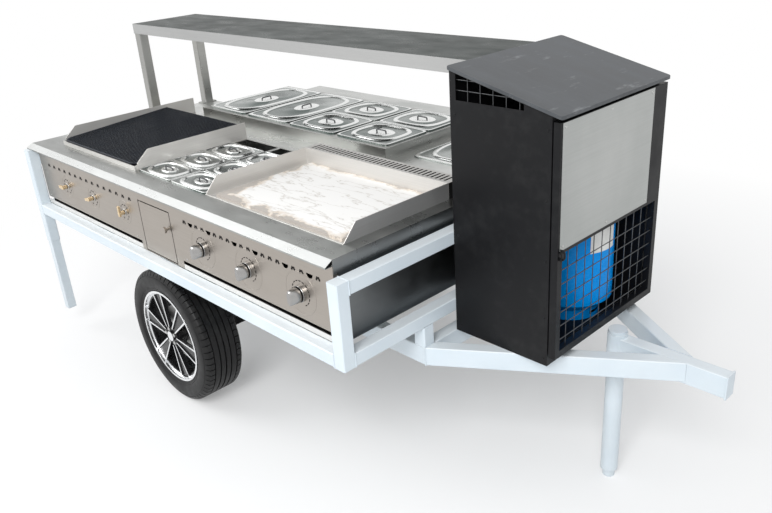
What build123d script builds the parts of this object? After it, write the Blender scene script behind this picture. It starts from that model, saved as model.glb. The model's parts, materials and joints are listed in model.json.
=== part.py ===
from build123d import *
from math import cos, hypot, radians, sin
import os

# Catering kitchen trailer, in millimetres.
# X runs forward to the hitch, the cooks stand on the -Y side, Z is up and the ground is Z = 0.
# The origin is on the ground under the middle of the whole trailer.

os.makedirs("parts", exist_ok=True)

# Frame of welded tube
frame_length = 2390.0
frame_width = 1720.0
tow_reach = 860.0
tube = 50.0
tube_wall = 3.0
tube_corner = 3.0
tray_z = 684.0
front_frame_height = 307.0
bearer_count = 3

# Chassis under the tray
chassis_z = 534.0
chassis_height = 72.0
chassis_width = 50.0
chassis_offset = 468.5

# Drawbar
join_reach = 724.0
tongue_width = 50.0
tongue_height = 80.0
end_plate = 6.0
end_plate_margin = 2.0
stand_reach = 459.0
stand_diameter = 63.5
stand_wall = 3.0
stand_top_z = 630.0
sleeve_wall = 3.2
sleeve_top_z = 618.0
sliding_fit = 0.3
pin_fit = 0.5
stand_foot_diameter = 45.0
stand_foot_height = 32.0

# Rear legs
leg_socket_z = 525.0
leg_foot_z = 127.0
leg_overlap = 270.0
leg_wall = 3.0
leg_fit = 0.4

# Axle and leaf springs
axle_from_rear = 1095.0
axle_tube = 50.0
hub_flange_radius = 42.0
spigot_radius = 28.0
bore_depth = 30.0
hub_end_gap = 2.0
wheel_clearance = 5.0
leaf_thickness = 8.0
leaf_width = 50.0
leaf_half_angles = (32.0, 24.0, 15.0)
spring_radius = 640.0
eye_radius = 17.0
eye_pin = 7.0
bar_flats = 12
hanger_cheek = 6.0
hanger_gap = 1.0

# Road tyres
tyre_radius = 316.0
tyre_width = 195.0
wheel_face_inset = 43.0
heel_radius = 232.0
shoulder_radius = 298.0
tread_width = 158.0
carcass = 18.0
sidewall = 6.0
bead_fit = 0.3

# Alloy rims
rim_radius = 219.0
rim_width = 176.0
bead_seat_radius = 211.0
rim_lip = 10.0
hub_radius = 50.0
hub_back = -16.0
spoke_count = 6
spoke_turn = -12.0
spoke_recess = 14.0
spoke_disc = 12.0
spoke_half_at_hub = 15.0
spoke_half_at_rim = 38.0
window_inner_radius = 45.0
window_outer_radius = 190.0
rib_proud = 6.0
rib_width_at_hub = 6.0
rib_width_at_rim = 9.0
rib_outer_radius = 202.0
cap_radius = 24.0
cap_proud = 10.0

# Stainless counter
counter_end_gap = 69.0
counter_setback = 49.0
far_setback = 19.0
deck_z = 1042.0
sheet = 2.0
nose_out = 30.0
nose_drop = 17.0
nose_lip = 6.0
fold_drop = 51.0
notch_length = 300.0
notch_depth = 582.0
fascia_z = 772.0
fascia_return = 18.0
fascia_end_gap = 6.0
sill_height = 20.0
sill_depth = 3.0

# Rows of small holes along the fascias: pairs of leaning slots, with half moons over the burners
vent_row_z = 953.0
slot_length = 10.0
slot_width = 4.0
slot_lean = 28.0
slot_spread = 11.0
griller_pair_count = 15
griller_pair_pitch = 59.2
moon_radius = 17.0
moon_rise = 5.0
moon_flats = 16
griddle_cell_pitch = 42.6
griddle_cell_count = 20
moon_cycle = 7
moon_cells = (1, 4)

# Knobs, gas cocks and the cupboard's handle
knob_reach = 4.0
knob_z = 870.0
knob_share = 0.3685
knob_shift = 15.5
knob_disc_radius = 30.0
knob_disc_height = 12.0
grip_length = 58.0
grip_height = 26.0
grip_corner = 8.0
cock_z = 878.0
cock_shares = (0.285, 0.573, 0.885)
cock_turns = (180.0, 190.0, 90.0)
cock_radius = 9.0
cock_height = 30.0
lever_length = 46.0
lever_width = 13.0
lever_thickness = 9.0
lever_offset = 10.0
handle_neck_radius = 6.0
handle_radius = 13.0
handle_neck = 12.0
handle_height = 10.0
handle_inset = 23.0
handle_z = 890.0

# Cupboard between the two fascias
cupboard_from_griller = 115.0
cupboard_length = 340.0
cupboard_rear_post = 33.0
cupboard_front_post = 52.0
cupboard_top_z = 968.0
cupboard_depth = 88.0
door_gap = 5.0
cupboard_door_thickness = 16.0
cupboard_pin = 4.0

# The hot appliances share what the counter's margins and the front pans leave of its length
grill_start = 190.0
griddle_end_margin = 59.0
griller_share = 0.4723

# Charcoal griller
grill_inset = 85.0
grill_depth = 590.0
grill_box_drop = 170.0
grill_wall = 3.0
splash_height = 80.0
grate_margin = 1.0
grate_thickness = 10.0
grate_corner = 45.0
grate_rim = 14.0
grate_rise_front = 30.0
grate_rise_back = 66.0
grate_bar_pitch = 24.0
grate_slot = 14.0
splash_slope = 60.0
splash_setback = 15.0
splash_far_reach = 165.0

# Griddle
griddle_inset = 100.0
griddle_depth = 510.0
griddle_rise = 62.0
griddle_plate_thickness = 12.0
griddle_plate_proud = 2.0
griddle_plate_margin = 38.0
griddle_plate_front = 26.0
griddle_wall = 3.0
flue_depth = 80.0
flue_pitch = 22.0
flue_slot_width = 10.0
flue_slot_margin = 12.0

# Food pans of the trade sizes, length along Y, width along X
full_pan = 530.0
half_pan = 265.0
pan_width = 325.0
quarter_pan = 162.0
pan_flange = 10.0
pan_wall = 1.5
pan_corner = 14.0
pan_fit = 1.0
front_pan_depth = 100.0
rear_pan_depth = 100.0
front_pan_rows = 3
front_pan_gap = 2.0
front_bath_inset = 95.0
front_bath_drop = 130.0
front_bath_strip = 84.0
front_bath_rim = 2.0
front_bath_side = 1.0

# Lids
lid_inset = 24.0
lid_rise = 9.0
lid_taper = 40
lid_handle_length = 64.0
lid_handle_width = 14.0
lid_handle_height = 15.0
lid_handle_bar = 4.0

# Raised bain-marie, measured from the rear end and the near edge of the counter
bath_start = 345.0
bath_inset = 800.0
bath_rise = 55.0
bath_drop = 170.0
bath_margin = 20.0
bath_depth = 580.0
full_columns = 2

# Recessed pan at the front of the rear row
recess_gap = 45.0
recess_end = 206.0
recess_inset = 910.0

# Overhead shelf
shelf_top_z = 1533.0
shelf_lip = 50.0
shelf_inset = 661.0
shelf_depth = 389.0
shelf_foot = 90.0
shelf_foot_plate = 5.0

# Gas locker
locker_length = 419.0
locker_width = 621.0
locker_inset = 487.0
locker_above_shelf = 15.0
locker_fall = 102.0
locker_sheet = 2.0
locker_base_height = 34.0
locker_lip = 25.0
roof_sheet = 3.0
roof_overhang = 24.0
roof_fold = 8.0
locker_door_thickness = 25.0
locker_door_drop = 20.0
door_frame = 25.0
door_split_z = 1025.0
mesh_pitch = 50.0
mesh_first_column = 52.0
mesh_first_row = 34.0
mesh_inset = 10.0
mesh_wire = 4.0
vent_wire = 3.0
vent_first_wire = 22.0
vent_wire_count = 7
vent_row_rises = (31.0, 64.0)
vent_row_margin = 6.0
vent_front_margin = 100.0
vent_overlap = 12.0
wire_fit = 0.3
sign_width = 525.0
sign_height = 400.0
sign_thickness = 2.0
sign_inset = 8.0
hinge_pin = 8.0
hinge_knuckle = 14.0
hinge_length = 60.0
hinge_from_end = 120.0
hinge_out = 12.0
hinge_back = 10.0
hinge_strap = 6.0
hinge_arm = 30.0
hinge_arm_thickness = 5.0
hinge_foot = 20.0
hinge_end = 20.0
hinge_gap = 1.0
staple_reach = 12.0
staple_width = 16.0
staple_height = 28.0
staple_bar = 4.0

# Gas cylinder
cylinder_radius = 150.0
cylinder_height = 400.0
cylinder_wall = 3.0
cylinder_foot_radius = 110.0
cylinder_foot_height = 40.0
cylinder_foot_wall = 4.0
foot_slot_width = 60.0
foot_slot_height = 14.0
cylinder_top_radius = 60.0
shoulder_drop = 50.0
cylinder_lower_radius = 112.0
cylinder_lower_rise = 34.0
cylinder_from_door = 180.0
cylinder_from_near = 395.0
collar_radius = 86.0
collar_height = 80.0
collar_wall = 4.0
collar_overlap = 17.0
collar_window_width = 90.0
collar_window_height = 34.0
collar_window_rise = 40.0
valve_radius = 14.0
valve_height = 45.0
regulator_radius = 36.0
regulator_height = 22.0
pipe_radius = 7.0
pipe_flats = 8
pipe_bend = 40.0
pipe_below_roof = 62.0

# Places worked out from the sizes
overall_length = frame_length + tow_reach
rear_x = -overall_length / 2
front_x = rear_x + frame_length
tip_x = overall_length / 2
centre_y = knob_reach / 2
near_y = centre_y - frame_width / 2
far_y = centre_y + frame_width / 2
tray_top = tray_z + tube
chassis_top = chassis_z + chassis_height
counter_length = frame_length - counter_end_gap
edge_y = near_y + counter_setback
far_edge_y = far_y - far_setback
counter_front_x = rear_x + counter_length
deck_under = deck_z - sheet
nose_under = deck_z - nose_drop - nose_lip
notch_y = far_edge_y - notch_depth
notch_x = rear_x + notch_length
skirt_rear_x = rear_x + tube + sheet
axle_x = rear_x + axle_from_rear
axle_z = tyre_radius
wheel_offset = frame_width / 2 - wheel_face_inset - tyre_width / 2
wheel_half = rim_width / 2


def member(start, end, width=tube, height=tube, wall=tube_wall):
    """A straight hollow tube from start to end, its height along Z where it lies flat."""
    run = Vector(*end) - Vector(*start)
    upright = abs(run.Z) > abs(run.X) + abs(run.Y)
    across = Vector(1, 0, 0) if upright else run.cross(Vector(0, 0, 1))
    with BuildPart() as length_of_tube:
        with BuildSketch(Plane(origin=start, x_dir=across, z_dir=run)) as section:
            Rectangle(width, height)
            chamfer(section.vertices(), tube_corner)
            Rectangle(width - 2 * wall, height - 2 * wall, mode=Mode.SUBTRACT)
        extrude(amount=run.length)
    return length_of_tube.part


def slab(x0, x1, y0, y1, z0, z1):
    """A plain block between two corners."""
    with BuildPart() as block:
        with Locations(((x0 + x1) / 2, (y0 + y1) / 2, (z0 + z1) / 2)):
            Box(x1 - x0, y1 - y0, z1 - z0)
    return block.part


def upright_bar(x, y, z0, z1, radius):
    """A short upright bar drawn with flats."""
    with BuildPart() as bar:
        with BuildSketch(Plane.XY.offset(z0)):
            with Locations((x, y)):
                RegularPolygon(radius, bar_flats)
        extrude(amount=z1 - z0)
    return bar.part


# Tube frame of the tray
with BuildPart() as tray_rails:
    for rail_y in (near_y + tube / 2, far_y - tube / 2):
        rail_z = tray_z + tube / 2
        add(member((rear_x + tube, rail_y, rail_z), (front_x - tube, rail_y, rail_z)))
tray_rails.part.label = "tray_rails"
export_step(tray_rails.part, "parts/tray_rails.step")

bearer_step = (frame_length - tube) / (bearer_count + 1)
bearer_xs = [rear_x + tube / 2 + bearer_step * number for number in range(1, bearer_count + 1)]
with BuildPart() as tray_bearers:
    for bearer_x in bearer_xs:
        bearer_z = tray_z + tube / 2
        add(member((bearer_x, near_y + tube, bearer_z), (bearer_x, far_y - tube, bearer_z)))
tray_bearers.part.label = "tray_bearers"
export_step(tray_bearers.part, "parts/tray_bearers.step")

# Corner posts: the rear ones go on below the tray as sockets for the legs
front_top = tray_z + front_frame_height
post_places = (
    # x centre, y centre, bottom, top
    (rear_x + tube / 2, near_y + tube / 2, leg_socket_z, nose_under),
    (rear_x + tube / 2, far_y - tube / 2, leg_socket_z, front_top),
    (front_x - tube / 2, near_y + tube / 2, tray_z, front_top),
    (front_x - tube / 2, far_y - tube / 2, tray_z, front_top),
)
with BuildPart() as corner_posts:
    for post_x, post_y, post_bottom, post_top in post_places:
        add(member((post_x, post_y, post_bottom), (post_x, post_y, post_top)))
        with BuildSketch(Plane((post_x, post_y, post_top - tube_wall))) as cap:
            Rectangle(tube, tube)
            chamfer(cap.vertices(), tube_corner)
        extrude(amount=tube_wall)
corner_posts.part.label = "corner_posts"
export_step(corner_posts.part, "parts/corner_posts.step")

with BuildPart() as end_rails:
    for rail_x in (rear_x + tube / 2, front_x - tube / 2):
        for rail_z in (tray_z + tube / 2, front_top - tube / 2):
            add(member((rail_x, near_y + tube, rail_z), (rail_x, far_y - tube, rail_z)))
end_rails.part.label = "end_rails"
export_step(end_rails.part, "parts/end_rails.step")

# Chassis: two long rails, cross members between them and stubs that carry the tray
chassis_mid_z = chassis_z + chassis_height / 2
with BuildPart() as chassis_rails:
    for side in (-1, 1):
        rail_y = centre_y + side * chassis_offset
        start = (rear_x, rail_y, chassis_mid_z)
        end = (front_x, rail_y, chassis_mid_z)
        add(member(start, end, chassis_width, chassis_height))
chassis_rails.part.label = "chassis_rails"
export_step(chassis_rails.part, "parts/chassis_rails.step")

chassis_inner = chassis_offset - chassis_width / 2
cross_xs = (rear_x + tube / 2, bearer_xs[0], bearer_xs[-1], front_x - tube / 2)
with BuildPart() as chassis_crossers:
    for cross_x in cross_xs:
        start = (cross_x, centre_y - chassis_inner, chassis_mid_z)
        end = (cross_x, centre_y + chassis_inner, chassis_mid_z)
        add(member(start, end, tube, chassis_height))
chassis_crossers.part.label = "chassis_crossers"
export_step(chassis_crossers.part, "parts/chassis_crossers.step")

with BuildPart() as chassis_stubs:
    for stub_x in (rear_x + tube / 2, *bearer_xs, front_x - tube / 2):
        for side in (-1, 1):
            stub_y = centre_y + side * chassis_offset
            add(member((stub_x, stub_y, chassis_top), (stub_x, stub_y, tray_z)))
chassis_stubs.part.label = "chassis_stubs"
export_step(chassis_stubs.part, "parts/chassis_stubs.step")

# Drawbar: two members run from the chassis rails to the sides of the tongue
join_x = front_x + join_reach
member_out = chassis_offset + chassis_width / 2
member_rise = member_out - tongue_width / 2
member_run = hypot(join_reach, member_rise)
member_cos = join_reach / member_run
member_sin = member_rise / member_run


def drawbar_outline(inset):
    """Plan corners of the near drawbar member, its long sides moved in by the inset."""
    out_shift = inset / member_cos
    in_shift = (chassis_width - inset) / member_cos
    tongue_side = -tongue_width / 2
    return (
        (front_x, -member_out + out_shift),
        (join_x - out_shift * member_cos / member_sin, tongue_side),
        (join_x - in_shift * member_cos / member_sin, tongue_side),
        (front_x, -member_out + in_shift),
    )


with BuildPart() as drawbar_members:
    with BuildSketch(Plane((0, centre_y, chassis_z))):
        with BuildLine():
            Polyline(*drawbar_outline(0), close=True)
        make_face()
    extrude(amount=chassis_height)
    long_edges = drawbar_members.edges().filter_by(lambda edge: edge.length > join_reach)
    chamfer(long_edges, tube_corner)
    with BuildSketch(Plane((0, centre_y, chassis_z + tube_wall))):
        with BuildLine():
            Polyline(*drawbar_outline(tube_wall), close=True)
        make_face()
    extrude(amount=chassis_height - 2 * tube_wall, mode=Mode.SUBTRACT)
    mirror(about=Plane.XZ.offset(-centre_y))
drawbar_members.part.label = "drawbar_members"
export_step(drawbar_members.part, "parts/drawbar_members.step")

# Tongue: a box from the stand's sleeve to the end plate that takes the coupler
stand_x = front_x + stand_reach
sleeve_bore = stand_diameter / 2 + sliding_fit
sleeve_radius = sleeve_bore + sleeve_wall
tongue_z = chassis_top - tongue_height
with BuildPart() as tow_tongue:
    tongue_mid = (stand_x, centre_y, chassis_top - tongue_height / 2)
    add(member(tongue_mid, (tip_x - end_plate, centre_y, tongue_mid[2]), tongue_width, tongue_height))
    with Locations((tip_x - end_plate / 2, centre_y, tongue_mid[2])):
        Box(end_plate, tongue_width + 2 * end_plate_margin, tongue_height + 2 * end_plate_margin)
    with BuildSketch(Plane((stand_x, centre_y, tongue_z))):
        Circle(sleeve_radius)
    extrude(amount=sleeve_top_z - tongue_z)
    with BuildSketch(Plane((stand_x, centre_y, tongue_z))):
        Circle(sleeve_bore)
    extrude(amount=sleeve_top_z - tongue_z, mode=Mode.SUBTRACT)
tow_tongue.part.label = "tow_tongue"
export_step(tow_tongue.part, "parts/tow_tongue.step")

# Drop-leg stand
with BuildPart() as stand_leg:
    with BuildSketch(Plane((stand_x, centre_y, stand_foot_height))):
        Circle(stand_diameter / 2)
        Circle(stand_diameter / 2 - stand_wall, mode=Mode.SUBTRACT)
    extrude(amount=stand_top_z - stand_foot_height)
    with BuildSketch(Plane((stand_x, centre_y, stand_top_z - stand_wall))):
        Circle(stand_diameter / 2 - stand_wall / 2)
    extrude(amount=stand_wall)
    with BuildSketch(Plane((stand_x, centre_y, 0))):
        Circle(stand_foot_diameter / 2)
    extrude(amount=stand_foot_height)
    with BuildSketch(Plane((stand_x, centre_y, stand_foot_height))):
        Circle(stand_diameter / 2)
    extrude(amount=stand_wall)
stand_leg.part.label = "stand_leg"
export_step(stand_leg.part, "parts/stand_leg.step")

# Rear legs slide in the sockets
leg_tube = tube - 2 * tube_wall - 2 * leg_fit
leg_top_z = leg_socket_z + leg_overlap
for leg_name, leg_y in (("leg_near", near_y + tube / 2), ("leg_far", far_y - tube / 2)):
    with BuildPart() as leg:
        with BuildSketch(Plane((rear_x + tube / 2, leg_y, leg_foot_z))):
            Rectangle(leg_tube, leg_tube)
            Rectangle(leg_tube - 2 * leg_wall, leg_tube - 2 * leg_wall, mode=Mode.SUBTRACT)
        extrude(amount=leg_top_z - leg_foot_z)
        with Locations((rear_x + tube / 2, leg_y, leg_foot_z + leg_wall / 2)):
            Box(leg_tube, leg_tube, leg_wall)
    leg.part.label = leg_name
    export_step(leg.part, f"parts/{leg_name}.step")

# Leaf springs hang under the chassis rails and sit on the axle
axle_top = axle_z + axle_tube / 2
pack_bottom_radius = spring_radius + leaf_thickness * len(leaf_half_angles)
spring_centre_z = axle_top + pack_bottom_radius
eye_centre_radius = spring_radius + leaf_thickness / 2
eye_run = eye_centre_radius * sin(radians(leaf_half_angles[0]))
eye_z = spring_centre_z - eye_centre_radius * cos(radians(leaf_half_angles[0]))


def leaf_spring(spring_y):
    """Three curved leaves, longest on top, with a rolled eye at each end."""
    with BuildPart() as spring:
        with BuildSketch(Plane.XZ.offset(-spring_y)) as leaves:
            for number, half_angle in enumerate(leaf_half_angles):
                inner_radius = spring_radius + leaf_thickness * number
                with BuildLine():
                    start = -90 - half_angle
                    sweep_angle = 2 * half_angle
                    inner = CenterArc((axle_x, spring_centre_z), inner_radius, start, sweep_angle)
                    outer_radius = inner_radius + leaf_thickness
                    outer = CenterArc((axle_x, spring_centre_z), outer_radius, start, sweep_angle)
                    Line(inner @ 0, outer @ 0)
                    Line(inner @ 1, outer @ 1)
                make_face()
            with Locations((axle_x - eye_run, eye_z), (axle_x + eye_run, eye_z)):
                RegularPolygon(eye_radius, bar_flats)
                RegularPolygon(eye_pin + sliding_fit, bar_flats, mode=Mode.SUBTRACT)
        extrude(amount=leaf_width / 2, both=True)
    return spring.part


with BuildPart() as leaf_springs:
    for side in (-1, 1):
        add(leaf_spring(centre_y + side * chassis_offset))
leaf_springs.part.label = "leaf_springs"
export_step(leaf_springs.part, "parts/leaf_springs.step")

# Each hanger is two cheeks with a pin through the spring's eye
cheek_y = leaf_width / 2 + hanger_gap + hanger_cheek / 2
with BuildPart() as spring_hangers:
    for side in (-1, 1):
        hanger_y = centre_y + side * chassis_offset
        for end in (-1, 1):
            hanger_x = axle_x + end * eye_run
            for cheek in (-1, 1):
                with BuildSketch(Plane.XZ.offset(-(hanger_y + cheek * cheek_y))):
                    with BuildLine():
                        Polyline(
                            (hanger_x - 2 * eye_radius, chassis_z),
                            (hanger_x - eye_radius, eye_z - eye_radius),
                            (hanger_x + eye_radius, eye_z - eye_radius),
                            (hanger_x + 2 * eye_radius, chassis_z),
                            close=True,
                        )
                    make_face()
                extrude(amount=hanger_cheek / 2, both=True)
            with Locations((hanger_x, hanger_y, chassis_z - hanger_cheek / 2)):
                Box(4 * eye_radius, 2 * cheek_y + hanger_cheek, hanger_cheek)
            with BuildSketch(Plane.XZ.offset(-hanger_y)):
                with Locations((hanger_x, eye_z)):
                    RegularPolygon(eye_pin, bar_flats)
            extrude(amount=cheek_y + hanger_cheek / 2, both=True)
spring_hangers.part.label = "spring_hangers"
export_step(spring_hangers.part, "parts/spring_hangers.step")

# Axle beam with a hub flange and a round spigot at each end
beam_half = wheel_offset - tyre_width / 2 - wheel_clearance
flange_end = wheel_offset - hub_back - wheel_clearance
spigot_end = wheel_offset - hub_back + bore_depth - hub_end_gap
with BuildPart() as axle_beam:
    with Locations((axle_x, centre_y, axle_z)):
        Box(axle_tube, 2 * beam_half, axle_tube)
    for side in (-1, 1):
        outward = Plane((axle_x, centre_y + side * beam_half, axle_z), x_dir=(1, 0, 0), z_dir=(0, side, 0))
        with BuildSketch(outward):
            RegularPolygon(hub_flange_radius, bar_flats)
        extrude(amount=flange_end - beam_half)
        with BuildSketch(outward):
            Circle(spigot_radius)
        extrude(amount=spigot_end - beam_half)
axle_beam.part.label = "axle_beam"
export_step(axle_beam.part, "parts/axle_beam.step")

# Wheels. Each is drawn about the origin with its outer face towards -Y
bead_radius = bead_seat_radius + bead_fit
bead_half = wheel_half - rim_lip - bead_fit


def road_tyre():
    """A hollow road tyre, its section drawn as straight runs from the bead to the tread."""
    outer_half = (
        # across, radius
        (bead_half, bead_radius),
        (tyre_width / 2, heel_radius),
        (tyre_width / 2, shoulder_radius),
        (tread_width / 2, tyre_radius),
    )
    inner_half = (
        (bead_half - sidewall, tyre_radius - carcass),
        (bead_half - sidewall, bead_radius),
    )
    outline = list(outer_half)
    outline += [(-across, radius) for across, radius in reversed(outer_half)]
    outline += [(-across, radius) for across, radius in reversed(inner_half)]
    outline += list(inner_half)
    with BuildPart() as tyre:
        with BuildSketch(Plane.YZ):
            with BuildLine():
                Polyline(*outline, close=True)
            make_face()
        revolve(axis=Axis.Y)
    return tyre.part


def spoke_edge(radius, half_width, side, turn):
    """A point on a spoke's edge, the spoke turned from the sketch's X axis."""
    across = side * half_width
    angle = radians(turn)
    return (radius * cos(angle) - across * sin(angle), radius * sin(angle) + across * cos(angle))


def alloy_rim():
    """A barrel closed by a disc with a window between each two spokes, each spoke edged by two thin ribs."""
    disc_face = wheel_half - spoke_recess
    half_pitch = 180.0 / spoke_count
    flare = (spoke_half_at_rim - spoke_half_at_hub) / (window_outer_radius - window_inner_radius)
    half_at_rib_end = spoke_half_at_hub + flare * (rib_outer_radius - window_inner_radius)
    with BuildSketch() as window:
        with BuildLine():
            inner_low = spoke_edge(window_inner_radius, spoke_half_at_hub, 1, -half_pitch)
            inner_high = spoke_edge(window_inner_radius, spoke_half_at_hub, -1, half_pitch)
            outer_low = spoke_edge(window_outer_radius, spoke_half_at_rim, 1, -half_pitch)
            outer_high = spoke_edge(window_outer_radius, spoke_half_at_rim, -1, half_pitch)
            ThreePointArc(outer_low, (hypot(*outer_low), 0), outer_high)
            Polyline(outer_high, inner_high, inner_low, outer_low)
        make_face()
    with BuildSketch() as ribs:
        for side in (-1, 1):
            with BuildLine():
                Polyline(
                    spoke_edge(window_inner_radius, spoke_half_at_hub, side, 0),
                    spoke_edge(rib_outer_radius, half_at_rib_end, side, 0),
                    spoke_edge(rib_outer_radius, half_at_rib_end - rib_width_at_rim, side, 0),
                    spoke_edge(window_inner_radius, spoke_half_at_hub - rib_width_at_hub, side, 0),
                    close=True,
                )
            make_face()
    with BuildPart() as rim:
        with BuildSketch(Plane.YZ):
            with BuildLine():
                Polyline(
                    (-wheel_half, rim_radius),
                    (-wheel_half, rim_radius - rim_lip),
                    (wheel_half, rim_radius - rim_lip),
                    (wheel_half, rim_radius),
                    (wheel_half - rim_lip, bead_seat_radius),
                    (rim_lip - wheel_half, bead_seat_radius),
                    close=True,
                )
            make_face()
        revolve(axis=Axis.Y)
        with BuildSketch(Plane.XZ.offset(disc_face)):
            Circle(bead_seat_radius - bead_fit)
            with PolarLocations(0, spoke_count, start_angle=spoke_turn + half_pitch):
                add(window.sketch, mode=Mode.SUBTRACT)
        extrude(amount=-spoke_disc)
        with BuildSketch(Plane.XZ.offset(disc_face)):
            with PolarLocations(0, spoke_count, start_angle=spoke_turn):
                add(ribs.sketch)
        extrude(amount=rib_proud)
        with BuildSketch(Plane.XZ.offset(disc_face)):
            Circle(cap_radius)
        extrude(amount=cap_proud)
        with BuildSketch(Plane.XZ.offset(-hub_back)):
            Circle(hub_radius)
        extrude(amount=disc_face - spoke_disc + hub_back)
        with BuildSketch(Plane.XZ.offset(-hub_back)):
            Circle(spigot_radius + sliding_fit)
        extrude(amount=bore_depth, mode=Mode.SUBTRACT)
    return rim.part


tyre_drawing = road_tyre()
rim_drawing = alloy_rim()
for side_name, side in (("near", -1), ("far", 1)):
    wheel_place = Location((axle_x, centre_y + side * wheel_offset, axle_z))
    for piece_name, drawing in (("tyre", tyre_drawing), ("rim", rim_drawing)):
        with BuildPart() as wheel_piece:
            outward = drawing if side < 0 else drawing.mirror(Plane.XZ)
            with Locations(wheel_place):
                add(outward)
        wheel_piece.part.label = f"{piece_name}_{side_name}"
        export_step(wheel_piece.part, f"parts/{piece_name}_{side_name}.step")

# Places on the counter. The hot appliances take what the margins and the pan bay leave
pan_bay = 2 * half_pan + front_pan_gap + grill_wall + 2 * front_bath_side
hot_length = counter_length - grill_start - pan_bay - griddle_end_margin
grill_x0 = rear_x + grill_start
grill_x1 = grill_x0 + griller_share * hot_length
grill_y0 = edge_y + grill_inset
grill_y1 = grill_y0 + grill_depth
griddle_x0 = grill_x1 + pan_bay
griddle_x1 = counter_front_x - griddle_end_margin
griddle_mid_x = (griddle_x0 + griddle_x1) / 2
griddle_y0 = edge_y + griddle_inset
griddle_y1 = griddle_y0 + griddle_depth
flue_y1 = griddle_y1 + flue_depth
recess_room = recess_gap + pan_width + recess_end
bath_columns = int((counter_length - bath_start - recess_room) / (pan_width + bath_margin))
bath_x0 = rear_x + bath_start
bath_x1 = bath_x0 + bath_columns * (pan_width + bath_margin) + bath_margin
bath_y0 = edge_y + bath_inset
bath_y1 = bath_y0 + bath_depth
bath_top = deck_z + bath_rise
recess_x = bath_x1 + recess_gap + pan_width / 2
recess_y = edge_y + recess_inset + full_pan / 2
front_bath_x0 = grill_x1 + grill_wall
front_bath_x1 = griddle_x0
front_bath_mid_x = (front_bath_x0 + front_bath_x1) / 2
front_bath_y0 = edge_y + front_bath_inset
front_pan_pitch = quarter_pan + front_pan_gap
strip_y0 = front_bath_y0 + front_pan_rows * front_pan_pitch + front_bath_rim
front_bath_y1 = strip_y0 + front_bath_strip
column_shift = (half_pan + front_pan_gap) / 2
front_pan_places = [
    (front_bath_mid_x + column * column_shift, front_bath_y0 + (row + 0.5) * front_pan_pitch)
    for column in (-1, 1)
    for row in range(front_pan_rows)
]
bath_pitch = pan_width + bath_margin
first_column_x = bath_x0 + bath_margin + pan_width / 2
bath_column_xs = [first_column_x + bath_pitch * column for column in range(bath_columns)]
bath_mid_y = (bath_y0 + bath_y1) / 2
half_shift = (half_pan + front_pan_gap) / 2
full_places = [(column_x, bath_mid_y) for column_x in bath_column_xs[:full_columns]]
half_places = [
    (column_x, bath_mid_y + half * half_shift)
    for column_x in bath_column_xs[full_columns:]
    for half in (-1, 1)
]

# Deck: one folded sheet with a bull nose along the cooks' side and a notch at the far rear corner
deck_outline = (
    (rear_x, edge_y),
    (counter_front_x, edge_y),
    (counter_front_x, far_edge_y),
    (notch_x, far_edge_y),
    (notch_x, notch_y),
    (rear_x, notch_y),
)
with BuildPart() as counter_deck:
    with BuildSketch(Plane.XY.offset(deck_z - fold_drop)) as outline:
        with BuildLine():
            Polyline(*deck_outline, close=True)
        make_face()
        offset(amount=-sheet, kind=Kind.INTERSECTION, mode=Mode.SUBTRACT)
    extrude(amount=fold_drop)
    fold_z = deck_z - fold_drop
    add(slab(rear_x, counter_front_x, edge_y, edge_y + sheet, fold_z, nose_under), mode=Mode.SUBTRACT)
    add(slab(rear_x, rear_x + tube, near_y, near_y + tube, fold_z, nose_under), mode=Mode.SUBTRACT)
    with BuildSketch(Plane.XY.offset(deck_under)):
        with BuildLine():
            Polyline(*deck_outline, close=True)
        make_face()
        with Locations(((grill_x0 + grill_x1) / 2, (grill_y0 + grill_y1) / 2)):
            Rectangle(grill_x1 - grill_x0, grill_y1 - grill_y0, mode=Mode.SUBTRACT)
        with Locations(((griddle_x0 + griddle_x1) / 2, (griddle_y0 + griddle_y1) / 2)):
            Rectangle(griddle_x1 - griddle_x0, griddle_y1 - griddle_y0, mode=Mode.SUBTRACT)
        with Locations(((bath_x0 + bath_x1) / 2, bath_mid_y)):
            Rectangle(bath_x1 - bath_x0, bath_y1 - bath_y0, mode=Mode.SUBTRACT)
        with Locations((front_bath_mid_x, (front_bath_y0 + front_bath_y1) / 2)):
            Rectangle(front_bath_x1 - front_bath_x0, front_bath_y1 - front_bath_y0, mode=Mode.SUBTRACT)
        with Locations((recess_x, recess_y)):
            Rectangle(pan_width - 2 * pan_flange, full_pan - 2 * pan_flange, mode=Mode.SUBTRACT)
    extrude(amount=sheet)
    with BuildSketch(Plane.YZ.offset(rear_x)):
        with BuildLine():
            Polyline(
                (edge_y, deck_z),
                (edge_y - nose_out, deck_z - nose_drop),
                (edge_y - nose_out, nose_under),
                (edge_y + sheet, nose_under),
                (edge_y + sheet, nose_under + sheet),
                (edge_y - nose_out + sheet, nose_under + sheet),
                (edge_y - nose_out + sheet, deck_z - nose_drop - sheet / 2),
                (edge_y, deck_under),
                close=True,
            )
        make_face()
    extrude(amount=counter_length)
counter_deck.part.label = "counter_deck"
export_step(counter_deck.part, "parts/counter_deck.step")

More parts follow.
